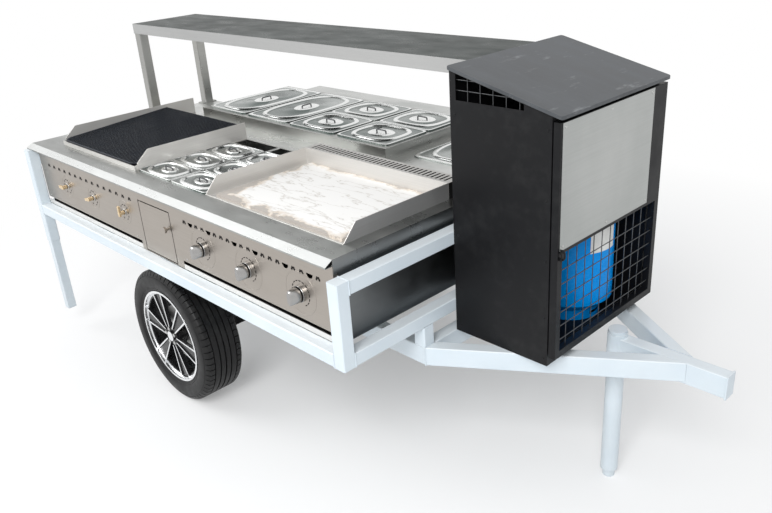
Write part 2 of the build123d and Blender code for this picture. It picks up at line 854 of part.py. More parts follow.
# Skirt: one sheet wrapped round the rear, the notch, the far side and the front
skirt_front_x = counter_front_x - sheet
skirt_far_y = far_edge_y - sheet
skirt_notch_y = notch_y - sheet
skirt_notch_x = notch_x + sheet
skirt_outline = (
    (skirt_rear_x, edge_y + sheet),
    (skirt_front_x, edge_y + sheet),
    (skirt_front_x, skirt_far_y),
    (skirt_notch_x, skirt_far_y),
    (skirt_notch_x, skirt_notch_y),
    (skirt_rear_x, skirt_notch_y),
)
with BuildPart() as body_skirt:
    with BuildSketch(Plane.XY.offset(tray_top + sheet)):
        with BuildLine():
            Polyline(*skirt_outline, close=True)
        make_face()
        offset(amount=-sheet, kind=Kind.INTERSECTION, mode=Mode.SUBTRACT)
    extrude(amount=deck_under - tray_top - sheet)
    open_y = edge_y + 2 * sheet + fascia_return
    add(slab(skirt_rear_x, skirt_front_x, edge_y, open_y, tray_top + sheet, deck_under), mode=Mode.SUBTRACT)
body_skirt.part.label = "body_skirt"
export_step(body_skirt.part, "parts/body_skirt.step")

with BuildPart() as body_floor:
    add(slab(skirt_rear_x, skirt_front_x, edge_y, far_edge_y, tray_top, tray_top + sheet))
body_floor.part.label = "body_floor"
export_step(body_floor.part, "parts/body_floor.step")

# The sill runs under the two fascias and stops at the cupboard
cupboard_x0 = grill_x1 + cupboard_from_griller
cupboard_x1 = cupboard_x0 + cupboard_length
sill_z = tray_top + sheet
with BuildPart() as body_sill:
    for sill_x0, sill_x1 in ((skirt_rear_x, cupboard_x0), (cupboard_x1, skirt_front_x)):
        add(slab(sill_x0, sill_x1, edge_y, edge_y + sill_depth, sill_z, sill_z + sill_height))
body_sill.part.label = "body_sill"
export_step(body_sill.part, "parts/body_sill.step")


def fascia(x0, x1):
    """A sheet panel with its ends and lower edge folded back."""
    with BuildPart() as panel:
        add(slab(x0, x1, edge_y, edge_y + fascia_return, fascia_z, nose_under))
        back = edge_y + fascia_return
        hollow = (x0 + sheet, x1 - sheet, edge_y + sheet, back, fascia_z + sheet, nose_under)
        add(slab(*hollow), mode=Mode.SUBTRACT)
    return panel.part


def slot_pair():
    """Two small slots that lean together, for a sketch on a fascia."""
    for side in (-1, 1):
        with Locations((side * slot_spread / 2, 0)):
            Rectangle(slot_width, slot_length, rotation=side * slot_lean)


griller_fascia_x0 = skirt_rear_x + fascia_end_gap
griddle_fascia_x1 = counter_front_x - sheet
with BuildPart() as griller_fascia:
    add(fascia(griller_fascia_x0, cupboard_x0))
    with BuildSketch(Plane.XZ.offset(-edge_y)):
        with Locations(((griller_fascia_x0 + cupboard_x0) / 2 + griller_pair_pitch / 2, vent_row_z)):
            with GridLocations(griller_pair_pitch, 1, griller_pair_count, 1):
                slot_pair()
    extrude(amount=-sheet, mode=Mode.SUBTRACT)
griller_fascia.part.label = "griller_fascia"
export_step(griller_fascia.part, "parts/griller_fascia.step")

cell_x0 = griddle_mid_x - (griddle_cell_count - 1) / 2 * griddle_cell_pitch - griddle_cell_pitch / 2
cell_xs = [cell_x0 + griddle_cell_pitch * number for number in range(griddle_cell_count)]
moon_xs = [x for number, x in enumerate(cell_xs) if number % moon_cycle in moon_cells]
pair_xs = [x for number, x in enumerate(cell_xs) if number % moon_cycle not in moon_cells]
with BuildPart() as griddle_fascia:
    add(fascia(cupboard_x1, griddle_fascia_x1))
    with BuildSketch(Plane.XZ.offset(-edge_y)):
        with Locations(*((x, vent_row_z) for x in pair_xs)):
            slot_pair()
    extrude(amount=-sheet, mode=Mode.SUBTRACT)
    with BuildSketch(Plane.XZ.offset(-edge_y)):
        with Locations(*((x, vent_row_z + moon_rise) for x in moon_xs)):
            RegularPolygon(moon_radius, moon_flats)
            with Locations((0, moon_radius)):
                Rectangle(2 * moon_radius, 2 * moon_radius, mode=Mode.SUBTRACT)
    extrude(amount=-sheet, mode=Mode.SUBTRACT)
griddle_fascia.part.label = "griddle_fascia"
export_step(griddle_fascia.part, "parts/griddle_fascia.step")

# Cupboard: a liner between the fascias, its front a frame round the door, with the door's two pins
cupboard_z = tray_top + 2 * sheet
hole_x0 = cupboard_x0 + cupboard_rear_post
hole_x1 = cupboard_x1 - cupboard_front_post
liner_y1 = edge_y + cupboard_depth
pin_x = hole_x0 + 2 * door_gap
pin_y = edge_y + door_gap
pin_length = door_gap + 3 * sheet
with BuildPart() as cupboard_liner:
    add(slab(cupboard_x0, cupboard_x1, edge_y, edge_y + sheet, cupboard_z - sheet, nose_under))
    add(slab(hole_x0 - sheet, hole_x1 + sheet, edge_y, liner_y1, cupboard_z - sheet, cupboard_top_z + sheet))
    add(slab(hole_x0, hole_x1, edge_y, liner_y1 - sheet, cupboard_z, cupboard_top_z), mode=Mode.SUBTRACT)
    add(upright_bar(pin_x, pin_y, cupboard_z, cupboard_z + pin_length, cupboard_pin / 2))
    add(upright_bar(pin_x, pin_y, cupboard_top_z - pin_length, cupboard_top_z, cupboard_pin / 2))
cupboard_liner.part.label = "cupboard_liner"
export_step(cupboard_liner.part, "parts/cupboard_liner.step")

door_x0 = hole_x0 + door_gap
door_x1 = hole_x1 - door_gap
door_z0 = cupboard_z + door_gap
door_z1 = cupboard_top_z - door_gap
door_y1 = edge_y + cupboard_door_thickness
handle_x = door_x1 - handle_inset
with BuildPart() as cupboard_door:
    add(slab(door_x0, door_x1, edge_y, door_y1, door_z0, door_z1))
    inside = (door_x0 + sheet, door_x1 - sheet, edge_y + sheet, door_y1, door_z0 + sheet, door_z1 - sheet)
    add(slab(*inside), mode=Mode.SUBTRACT)
    add(upright_bar(pin_x, pin_y, door_z0, door_z1, cupboard_pin / 2 + pin_fit), mode=Mode.SUBTRACT)
    handle_steps = ((0, handle_neck_radius, handle_neck), (handle_neck, handle_radius, handle_height))
    for start, radius, height in handle_steps:
        with BuildSketch(Plane.XZ.offset(start - edge_y)):
            with Locations((handle_x, handle_z)):
                RegularPolygon(radius, bar_flats)
        extrude(amount=height)
cupboard_door.part.label = "cupboard_door"
export_step(cupboard_door.part, "parts/cupboard_door.step")

# Charcoal griller: a fire box with a slanted rim, splash plates beside it and a barred grate on the rim
rim_front_z = deck_z + grate_rise_front - grate_thickness
rim_back_z = deck_z + grate_rise_back - grate_thickness
fire_z = deck_z - grill_box_drop
with BuildPart() as grill_box:
    with BuildSketch(Plane.YZ.offset(grill_x0)):
        with BuildLine():
            Polyline(
                (grill_y0, fire_z),
                (grill_y1, fire_z),
                (grill_y1, rim_back_z),
                (grill_y0, rim_front_z),
                close=True,
            )
        make_face()
    extrude(amount=grill_x1 - grill_x0)
    add(
        slab(
            grill_x0 + grill_wall,
            grill_x1 - grill_wall,
            grill_y0 + grill_wall,
            grill_y1 - grill_wall,
            fire_z + grill_wall,
            rim_back_z + grate_thickness,
        ),
        mode=Mode.SUBTRACT,
    )
    for splash_x, splash_y1 in ((grill_x0 - grill_wall, grill_y1 + splash_far_reach), (grill_x1, grill_y1)):
        with BuildSketch(Plane.YZ.offset(splash_x)):
            with BuildLine():
                Polyline(
                    (grill_y0 + splash_setback, deck_z),
                    (splash_y1, deck_z),
                    (splash_y1, deck_z + splash_height),
                    (grill_y0 + splash_setback + splash_slope, deck_z + splash_height),
                    (grill_y0 + splash_setback, deck_z + grate_rise_front),
                    close=True,
                )
            make_face()
        extrude(amount=grill_wall)
grill_box.part.label = "grill_box"
export_step(grill_box.part, "parts/grill_box.step")

grate_width = grill_x1 - grill_x0 - 2 * grate_margin
grate_length = hypot(grill_depth, grate_rise_back - grate_rise_front)
grate_plane = Plane(
    origin=((grill_x0 + grill_x1) / 2, (grill_y0 + grill_y1) / 2, (rim_front_z + rim_back_z) / 2),
    x_dir=(1, 0, 0),
    z_dir=(0, grate_rise_front - grate_rise_back, grill_depth),
)
grate_slots = int((grate_width - 2 * grate_rim) / grate_bar_pitch)
with BuildPart() as grill_grate:
    with BuildSketch(grate_plane) as bars:
        Rectangle(grate_width, grate_length)
        fillet(bars.vertices().sort_by(Axis.Y)[:2], grate_corner)
        with GridLocations(grate_bar_pitch, 1, grate_slots, 1):
            Rectangle(grate_slot, grate_length - 2 * grate_corner, mode=Mode.SUBTRACT)
    extrude(amount=grate_thickness)
grill_grate.part.label = "grill_grate"
export_step(grill_grate.part, "parts/grill_grate.step")

# Griddle: a tray with splash walls on three sides, a thick plate in it and a slotted flue behind
tray_floor_z = deck_z + griddle_plate_proud - griddle_plate_thickness
with BuildPart() as griddle_box:
    tray_under_z = tray_floor_z - griddle_wall
    add(slab(griddle_x0, griddle_x1, griddle_y0, griddle_y1, tray_under_z, deck_z + griddle_rise))
    add(
        slab(
            griddle_x0 + griddle_wall,
            griddle_x1 - griddle_wall,
            griddle_y0 + griddle_wall,
            griddle_y1 - griddle_wall,
            tray_floor_z,
            deck_z + griddle_rise,
        ),
        mode=Mode.SUBTRACT,
    )
    with BuildSketch(Plane.YZ.offset(griddle_x0)):
        with BuildLine():
            Polyline(
                (griddle_y0, deck_z + griddle_plate_proud),
                (griddle_y0 + griddle_wall, deck_z + griddle_plate_proud),
                (griddle_y0 + splash_slope, deck_z + griddle_rise),
                (griddle_y0, deck_z + griddle_rise),
                close=True,
            )
        make_face()
    extrude(amount=griddle_x1 - griddle_x0, mode=Mode.SUBTRACT)
griddle_box.part.label = "griddle_box"
export_step(griddle_box.part, "parts/griddle_box.step")

with BuildPart() as griddle_plate:
    add(
        slab(
            griddle_x0 + griddle_plate_margin,
            griddle_x1 - griddle_plate_margin,
            griddle_y0 + griddle_plate_front,
            griddle_y1 - griddle_wall,
            tray_floor_z,
            deck_z + griddle_plate_proud,
        )
    )
griddle_plate.part.label = "griddle_plate"
export_step(griddle_plate.part, "parts/griddle_plate.step")

flue_slots = int((griddle_x1 - griddle_x0) / flue_pitch) - 1
with BuildPart() as griddle_flue:
    add(slab(griddle_x0, griddle_x1, griddle_y1, flue_y1, deck_z, deck_z + griddle_rise))
    add(
        slab(
            griddle_x0 + sheet,
            griddle_x1 - sheet,
            griddle_y1 + sheet,
            flue_y1 - sheet,
            deck_z,
            deck_z + griddle_rise - sheet,
        ),
        mode=Mode.SUBTRACT,
    )
    with BuildSketch(Plane.XY.offset(deck_z + griddle_rise)):
        with Locations(((griddle_x0 + griddle_x1) / 2, griddle_y1 + flue_depth / 2)):
            with GridLocations(flue_pitch, 1, flue_slots, 1):
                Rectangle(flue_slot_width, flue_depth - 2 * flue_slot_margin)
    extrude(amount=-sheet, mode=Mode.SUBTRACT)
griddle_flue.part.label = "griddle_flue"
export_step(griddle_flue.part, "parts/griddle_flue.step")


def cut_block(width, length, corner, z0, z1):
    """A block about the Z axis with its four upright edges cut."""
    with BuildPart() as block:
        with BuildSketch(Plane.XY.offset(z0)) as plan:
            Rectangle(width, length)
            chamfer(plan.vertices(), corner)
        extrude(amount=z1 - z0)
    return block.part


def food_pan(width, length, depth):
    """An open pan whose flange lies on Z = 0 and whose body hangs below it."""
    body_width = width - 2 * pan_flange - 2 * pan_fit
    body_length = length - 2 * pan_flange - 2 * pan_fit
    inner_width = body_width - 2 * pan_wall
    inner_length = body_length - 2 * pan_wall
    with BuildPart() as pan:
        add(cut_block(width, length, pan_corner, 0, pan_wall))
        add(cut_block(body_width, body_length, pan_corner, -depth, 0))
        add(cut_block(inner_width, inner_length, pan_corner, pan_wall - depth, pan_wall), mode=Mode.SUBTRACT)
    return pan.part


def pan_lid(width, length):
    """A lid on Z = 0 with a raised panel and a small bar handle."""
    panel_top = pan_wall + lid_rise
    gap_length = lid_handle_length - 2 * lid_handle_bar
    with BuildPart() as lid:
        add(cut_block(width, length, pan_corner, 0, pan_wall))
        with BuildSketch(Plane.XY.offset(pan_wall)) as panel:
            Rectangle(width - 2 * lid_inset, length - 2 * lid_inset)
            chamfer(panel.vertices(), pan_corner)
        extrude(amount=lid_rise, taper=lid_taper)
        with Locations((0, 0, panel_top + lid_handle_height / 2)):
            Box(lid_handle_length, lid_handle_width, lid_handle_height)
        with Locations((0, 0, panel_top + (lid_handle_height - lid_handle_bar) / 2)):
            Box(gap_length, lid_handle_width, lid_handle_height - lid_handle_bar, mode=Mode.SUBTRACT)
    return lid.part


def hollow_bath(x0, x1, y0, y1, z0, z1):
    """A closed sheet box; the holes for its pans are cut afterwards."""
    with BuildPart() as bath:
        add(slab(x0, x1, y0, y1, z0, z1))
        add(slab(x0 + sheet, x1 - sheet, y0 + sheet, y1 - sheet, z0 + sheet, z1 - sheet), mode=Mode.SUBTRACT)
    return bath.part


# Front bain-marie between the griller and the griddle, with an open strip behind its pans
with BuildPart() as front_bath:
    front_bath_z = deck_z - front_bath_drop
    add(hollow_bath(front_bath_x0, front_bath_x1, front_bath_y0, front_bath_y1, front_bath_z, deck_z))
    with BuildSketch(Plane.XY.offset(deck_z)):
        with Locations(*front_pan_places):
            Rectangle(half_pan - 2 * pan_flange, quarter_pan - 2 * pan_flange)
        for column in (-1, 1):
            strip_x = front_bath_mid_x + column * (half_pan + front_pan_gap) / 2
            with Locations((strip_x, (strip_y0 + front_bath_y1) / 2 - sheet)):
                Rectangle(half_pan - 2 * pan_flange, front_bath_strip - 4 * sheet)
    extrude(amount=-sheet, mode=Mode.SUBTRACT)
front_bath.part.label = "front_bath"
export_step(front_bath.part, "parts/front_bath.step")

with BuildPart() as front_pans:
    with Locations(*((x, y, deck_z) for x, y in front_pan_places)):
        add(food_pan(half_pan, quarter_pan, front_pan_depth))
front_pans.part.label = "front_pans"
export_step(front_pans.part, "parts/front_pans.step")

with BuildPart() as front_lids:
    with Locations(*((x, y, deck_z + pan_wall) for x, y in front_pan_places)):
        add(pan_lid(half_pan, quarter_pan))
front_lids.part.label = "front_lids"
export_step(front_lids.part, "parts/front_lids.step")

# Raised bain-marie: a hollow box that the rear pans hang in
with BuildPart() as rear_bath:
    add(hollow_bath(bath_x0, bath_x1, bath_y0, bath_y1, deck_z - bath_drop, bath_top))
    with BuildSketch(Plane.XY.offset(bath_top)):
        with Locations(*full_places):
            Rectangle(pan_width - 2 * pan_flange, full_pan - 2 * pan_flange)
        with Locations(*half_places):
            Rectangle(pan_width - 2 * pan_flange, half_pan - 2 * pan_flange)
    extrude(amount=-sheet, mode=Mode.SUBTRACT)
rear_bath.part.label = "rear_bath"
export_step(rear_bath.part, "parts/rear_bath.step")

with BuildPart() as rear_pans:
    with Locations(*((x, y, bath_top) for x, y in full_places), (recess_x, recess_y, deck_z)):
        add(food_pan(pan_width, full_pan, rear_pan_depth))
    with Locations(*((x, y, bath_top) for x, y in half_places)):
        add(food_pan(pan_width, half_pan, rear_pan_depth))
rear_pans.part.label = "rear_pans"
export_step(rear_pans.part, "parts/rear_pans.step")

with BuildPart() as rear_lids:
    recess_lid_place = (recess_x, recess_y, deck_z + pan_wall)
    with Locations(*((x, y, bath_top + pan_wall) for x, y in full_places), recess_lid_place):
        add(pan_lid(pan_width, full_pan))
    with Locations(*((x, y, bath_top + pan_wall) for x, y in half_places)):
        add(pan_lid(pan_width, half_pan))
rear_lids.part.label = "rear_lids"
export_step(rear_lids.part, "parts/rear_lids.step")

# Knobs of the griddle and brass cocks of the griller
knob_pitch = knob_share * (griddle_x1 - griddle_x0)
knob_xs = [griddle_mid_x - knob_shift + number * knob_pitch for number in (-1, 0, 1)]
knob_proud = knob_reach + counter_setback
with BuildPart() as griddle_knobs:
    with BuildSketch(Plane.XZ.offset(-edge_y)):
        with Locations(*((knob_x, knob_z) for knob_x in knob_xs)):
            Circle(knob_disc_radius)
    extrude(amount=knob_disc_height)
    with BuildSketch(Plane.XZ.offset(knob_disc_height - edge_y)) as grips:
        with Locations(*((knob_x, knob_z) for knob_x in knob_xs)):
            Rectangle(grip_length, grip_height)
        chamfer(grips.vertices(), grip_corner)
    extrude(amount=knob_proud - knob_disc_height)
griddle_knobs.part.label = "griddle_knobs"
export_step(griddle_knobs.part, "parts/griddle_knobs.step")

griller_fascia_length = cupboard_x0 - griller_fascia_x0
cock_xs = [griller_fascia_x0 + share * griller_fascia_length for share in cock_shares]
with BuildPart() as gas_cocks:
    with BuildSketch(Plane.XZ.offset(-edge_y)):
        with Locations(*((cock_x, cock_z) for cock_x in cock_xs)):
            RegularPolygon(cock_radius, bar_flats)
    extrude(amount=cock_height)
    for cock_x, turn in zip(cock_xs, cock_turns):
        with BuildSketch(Plane.XZ.offset(cock_height - lever_thickness - edge_y)):
            with Locations(Location((cock_x, cock_z, 0), (0, 0, turn))):
                with Locations((lever_offset, 0)):
                    Rectangle(lever_length, lever_width)
        extrude(amount=lever_thickness)
gas_cocks.part.label = "gas_cocks"
export_step(gas_cocks.part, "parts/gas_cocks.step")

# Overhead shelf: a folded tray upside down, on two legs at the rear and on the locker at the front
shelf_y0 = edge_y + shelf_inset
shelf_y1 = shelf_y0 + shelf_depth
shelf_z = shelf_top_z - shelf_lip
shelf_under = shelf_top_z - sheet
with BuildPart() as overhead_shelf:
    add(slab(rear_x, front_x, shelf_y0, shelf_y1, shelf_z, shelf_top_z))
    hollow = (rear_x + sheet, front_x - sheet, shelf_y0 + sheet, shelf_y1 - sheet, shelf_z, shelf_under)
    add(slab(*hollow), mode=Mode.SUBTRACT)
overhead_shelf.part.label = "overhead_shelf"
export_step(overhead_shelf.part, "parts/overhead_shelf.step")

shelf_leg_x = rear_x + sheet + tube / 2
foot_z = deck_z + shelf_foot_plate
with BuildPart() as shelf_legs:
    for leg_y in (shelf_y0 + sheet + tube / 2, shelf_y1 - sheet - tube / 2):
        add(member((shelf_leg_x, leg_y, foot_z), (shelf_leg_x, leg_y, shelf_under)))
        with Locations((shelf_leg_x, leg_y, deck_z + shelf_foot_plate / 2)):
            Box(tube, shelf_foot, shelf_foot_plate)
shelf_legs.part.label = "shelf_legs"
export_step(shelf_legs.part, "parts/shelf_legs.step")

# Gas locker: a folded shell with a sloping top, open at the front where the door closes it
locker_y0 = edge_y + locker_inset
locker_y1 = locker_y0 + locker_width
locker_mid_y = (locker_y0 + locker_y1) / 2
locker_rear_z = shelf_top_z + locker_above_shelf
locker_front_z = locker_rear_z - locker_fall
shell_x1 = front_x + locker_length - locker_door_thickness - door_gap
leaf_x0 = shell_x1 + door_gap
leaf_x1 = front_x + locker_length
roof_slope = locker_fall / locker_length
leaf_z0 = chassis_top + locker_base_height
leaf_z1 = locker_front_z - locker_door_drop
hinge_x = leaf_x0 + hinge_back
hinge_y = locker_y1 + hinge_out
hinge_zs = (leaf_z0 + hinge_from_end, leaf_z1 - hinge_from_end)
hinge_half = hinge_length / 2
vent_x0 = front_x + locker_lip
vent_x1 = shell_x1 - vent_front_margin


def roof_line(x):
    """Height of the locker's walls at a place along the trailer."""
    return locker_rear_z - (x - front_x) * roof_slope


with BuildPart() as locker_body:
    with BuildSketch(Plane.XZ.offset(-locker_y0)):
        with BuildLine():
            Polyline(
                (front_x, chassis_top),
                (shell_x1, chassis_top),
                (shell_x1, roof_line(shell_x1)),
                (front_x, locker_rear_z),
                close=True,
            )
        make_face()
    extrude(amount=-locker_width)
    add(
        slab(
            front_x + locker_sheet,
            shell_x1 - locker_sheet,
            locker_y0 + locker_sheet,
            locker_y1 - locker_sheet,
            chassis_top + locker_sheet,
            locker_rear_z,
        ),
        mode=Mode.SUBTRACT,
    )
    add(
        slab(
            shell_x1 - locker_sheet,
            shell_x1,
            locker_y0 + locker_lip,
            locker_y1 - locker_lip,
            leaf_z0 + locker_lip,
            leaf_z1 - locker_lip,
        ),
        mode=Mode.SUBTRACT,
    )
    with BuildSketch(Plane.XZ.offset(-locker_y0)):
        with BuildLine():
            Polyline(
                (vent_x0, locker_front_z),
                (vent_x1, locker_front_z),
                (vent_x1, roof_line(vent_x1) - vent_overlap),
                (vent_x0, roof_line(vent_x0) - vent_overlap),
                close=True,
            )
        make_face()
    extrude(amount=-locker_width, mode=Mode.SUBTRACT)
    for hinge_z in hinge_zs:
        pin_reach = hinge_half + hinge_gap + hinge_end
        add(upright_bar(hinge_x, hinge_y, hinge_z - pin_reach, hinge_z + pin_reach, hinge_pin / 2))
        for end_z in (hinge_z - pin_reach, hinge_z + hinge_half + hinge_gap):
            end_top = end_z + hinge_end
            arm_x = shell_x1 - hinge_arm
            add(upright_bar(hinge_x, hinge_y, end_z, end_top, hinge_knuckle / 2))
            add(slab(arm_x, hinge_x, hinge_y - hinge_arm_thickness, hinge_y, end_z, end_top))
            add(slab(arm_x, arm_x + hinge_foot, locker_y1, hinge_y, end_z, end_top))
locker_body.part.label = "locker_body"
export_step(locker_body.part, "parts/locker_body.step")

roof_plane = Plane(
    origin=(front_x, locker_mid_y, locker_rear_z),
    x_dir=(1, 0, -roof_slope),
    z_dir=(roof_slope, 0, 1),
)
roof_length = hypot(locker_length, locker_fall) + 2 * roof_overhang
roof_width = locker_width + 2 * roof_overhang
with BuildPart() as locker_roof:
    with BuildSketch(roof_plane):
        with Locations((roof_length / 2 - roof_overhang, 0)):
            Rectangle(roof_length, roof_width)
    extrude(amount=roof_sheet)
    with BuildSketch(roof_plane):
        with Locations((roof_length / 2 - roof_overhang, 0)):
            Rectangle(roof_length, roof_width)
            Rectangle(roof_length - 2 * roof_sheet, roof_width - 2 * roof_sheet, mode=Mode.SUBTRACT)
    extrude(amount=-roof_fold)
locker_roof.part.label = "locker_roof"
export_step(locker_roof.part, "parts/locker_roof.step")

# Vent mesh: crossed wires inside the windows of the two side walls
vent_xs = [front_x + vent_first_wire + number * mesh_pitch for number in range(vent_wire_count)]
vent_z0 = locker_front_z - vent_overlap
half_vent_wire = vent_wire / 2
cross_shift = vent_wire + wire_fit
with BuildPart() as locker_vent_mesh:
    for wall_y, inward in ((locker_y0 + locker_sheet, 1), (locker_y1 - locker_sheet, -1)):
        upright_y = wall_y + inward * half_vent_wire
        cross_y = upright_y + inward * cross_shift
        for wire_x in vent_xs:
            wire_top = roof_line(wire_x) - vent_row_margin
            with Locations((wire_x, upright_y, (vent_z0 + wire_top) / 2)):
                Box(vent_wire, vent_wire, wire_top - vent_z0)
        for rise in vent_row_rises:
            wire_end = front_x + (locker_fall - rise - vent_row_margin) / roof_slope
            wire_x0 = front_x + locker_sheet
            with Locations(((wire_x0 + wire_end) / 2, cross_y, locker_front_z + rise)):
                Box(wire_end - wire_x0, vent_wire, vent_wire)
locker_vent_mesh.part.label = "locker_vent_mesh"
export_step(locker_vent_mesh.part, "parts/locker_vent_mesh.step")

opening_y0 = locker_y0 + door_frame
opening_y1 = locker_y1 - door_frame
opening_z0 = leaf_z0 + door_frame
split_top = door_split_z + door_frame / 2
split_bottom = door_split_z - door_frame / 2
staple_y0 = locker_y0 + (door_frame - staple_width) / 2
staple_z1 = door_split_z - staple_bar / 2
staple_z0 = staple_z1 - staple_height
with BuildPart() as locker_door:
    add(slab(leaf_x0, leaf_x1, locker_y0, locker_y1, leaf_z0, leaf_z1))
    add(slab(leaf_x0, leaf_x1, opening_y0, opening_y1, opening_z0, split_bottom), mode=Mode.SUBTRACT)
    panel_back = leaf_x1 - locker_sheet
    panel_top = leaf_z1 - door_frame
    add(slab(leaf_x0, panel_back, opening_y0, opening_y1, split_top, panel_top), mode=Mode.SUBTRACT)
    for hinge_z in hinge_zs:
        low = hinge_z - hinge_half
        high = hinge_z + hinge_half
        strap_half = hinge_strap / 2
        add(slab(hinge_x - strap_half, hinge_x + strap_half, locker_y1, hinge_y, low, high))
        add(upright_bar(hinge_x, hinge_y, low, high, hinge_knuckle / 2))
        add(upright_bar(hinge_x, hinge_y, low, high, hinge_pin / 2 + pin_fit), mode=Mode.SUBTRACT)
    staple_x1 = leaf_x1 + staple_reach
    loop_x1 = staple_x1 - staple_bar
    staple_y1 = staple_y0 + staple_width
    add(slab(leaf_x1, staple_x1, staple_y0, staple_y1, staple_z0, staple_z1))
    loop = (leaf_x1, loop_x1, staple_y0, staple_y1, staple_z0 + staple_bar, staple_z1 - staple_bar)
    add(slab(*loop), mode=Mode.SUBTRACT)
locker_door.part.label = "locker_door"
export_step(locker_door.part, "parts/locker_door.step")

# Door mesh: crossed wires between the door's lower frame and its middle bar
mesh_columns = int((opening_y1 - opening_y0 - mesh_first_column) / mesh_pitch)
mesh_rows = int((split_bottom - opening_z0 - mesh_first_row) / mesh_pitch)
mesh_x = leaf_x0 + mesh_inset + mesh_wire / 2
with BuildPart() as door_mesh:
    for number in range(mesh_columns):
        wire_y = opening_y0 + mesh_first_column + number * mesh_pitch
        with Locations((mesh_x, wire_y, (opening_z0 + split_bottom) / 2)):
            Box(mesh_wire, mesh_wire, split_bottom - opening_z0)
    for number in range(mesh_rows):
        wire_z = opening_z0 + mesh_first_row + number * mesh_pitch
        with Locations((mesh_x + mesh_wire + wire_fit, locker_mid_y, wire_z)):
            Box(mesh_wire, opening_y1 - opening_y0, mesh_wire)
door_mesh.part.label = "door_mesh"
export_step(door_mesh.part, "parts/door_mesh.step")

sign_y0 = locker_y0 + sign_inset
sign_z1 = door_split_z + sign_height
with BuildPart() as door_sign:
    add(slab(leaf_x1, leaf_x1 + sign_thickness, sign_y0, sign_y0 + sign_width, door_split_z, sign_z1))
door_sign.part.label = "door_sign"
export_step(door_sign.part, "parts/door_sign.step")

# Gas cylinder on the locker's floor, a hollow shell with a foot ring and a collar
cylinder_x = leaf_x0 - cylinder_from_door
cylinder_y = locker_y0 + cylinder_from_near
cylinder_z = chassis_top + locker_sheet
body_z0 = cylinder_z + cylinder_foot_height
body_z1 = body_z0 + cylinder_height
inner_radius = cylinder_radius - cylinder_wall
inner_z0 = body_z0 + cylinder_wall
inner_z1 = body_z1 - cylinder_wall
with BuildPart() as gas_cylinder:
    with BuildSketch(Plane.XZ):
        with BuildLine():
            Polyline(
                (0, body_z0),
                (cylinder_lower_radius, body_z0),
                (cylinder_radius, body_z0 + cylinder_lower_rise),
                (cylinder_radius, body_z1 - shoulder_drop),
                (cylinder_top_radius, body_z1),
                (0, body_z1),
                close=True,
            )
        make_face()
        with BuildLine():
            Polyline(
                (0, inner_z0),
                (cylinder_lower_radius - cylinder_wall, inner_z0),
                (cylinder_lower_radius - cylinder_wall, body_z0 + cylinder_lower_rise),
                (inner_radius, body_z0 + cylinder_lower_rise),
                (inner_radius, body_z1 - shoulder_drop),
                (cylinder_top_radius, inner_z1),
                (0, inner_z1),
                close=True,
            )
        make_face(mode=Mode.SUBTRACT)
    revolve(axis=Axis.Z)
    with BuildSketch(Plane.XY.offset(cylinder_z)):
        Circle(cylinder_foot_radius)
        Circle(cylinder_foot_radius - cylinder_foot_wall, mode=Mode.SUBTRACT)
    extrude(amount=cylinder_foot_height)
    with Locations((0, 0, cylinder_z + cylinder_foot_height / 2)):
        Box(2 * cylinder_foot_radius, foot_slot_width, foot_slot_height, mode=Mode.SUBTRACT)
    with BuildSketch(Plane.XY.offset(body_z1 - collar_overlap)):
        Circle(collar_radius)
        Circle(collar_radius - collar_wall, mode=Mode.SUBTRACT)
    extrude(amount=collar_height + collar_overlap)
    with Locations((0, 0, body_z1 + collar_window_rise)):
        Box(2 * collar_radius, collar_window_width, collar_window_height, mode=Mode.SUBTRACT)
gas_cylinder.part.label = "gas_cylinder"
gas_cylinder.part.position = (cylinder_x, cylinder_y, 0)
export_step(gas_cylinder.part, "parts/gas_cylinder.step")

# Valve, regulator and the rigid pipe to the locker's rear wall
valve_top = body_z1 + valve_height
pipe_z0 = valve_top + regulator_height
pipe_top = locker_rear_z - pipe_below_roof
with BuildPart() as gas_regulator:
    with BuildSketch(Plane((cylinder_x, cylinder_y, body_z1))):
        RegularPolygon(valve_radius, bar_flats)
    extrude(amount=valve_height)
    with BuildSketch(Plane((cylinder_x, cylinder_y, valve_top))):
        Circle(regulator_radius)
    extrude(amount=regulator_height)
    with BuildLine() as pipe_path:
        Polyline(
            (cylinder_x, cylinder_y, pipe_z0),
            (cylinder_x, cylinder_y, pipe_top - pipe_bend),
            (cylinder_x - pipe_bend, cylinder_y, pipe_top),
            (front_x + locker_sheet, cylinder_y, pipe_top),
        )
    with BuildSketch(Plane((cylinder_x, cylinder_y, pipe_z0))):
        RegularPolygon(pipe_radius, pipe_flats)
    sweep(path=pipe_path.line, transition=Transition.RIGHT)
gas_regulator.part.label = "gas_regulator"
export_step(gas_regulator.part, "parts/gas_regulator.step")
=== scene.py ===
"""Looks of a catering kitchen trailer: brushed steel counter, painted tube frame, gas locker and road wheels."""

import bmesh
import bpy
import json
from math import copysign, cos, pi, radians, sin, sqrt
from mathutils import Matrix, Vector


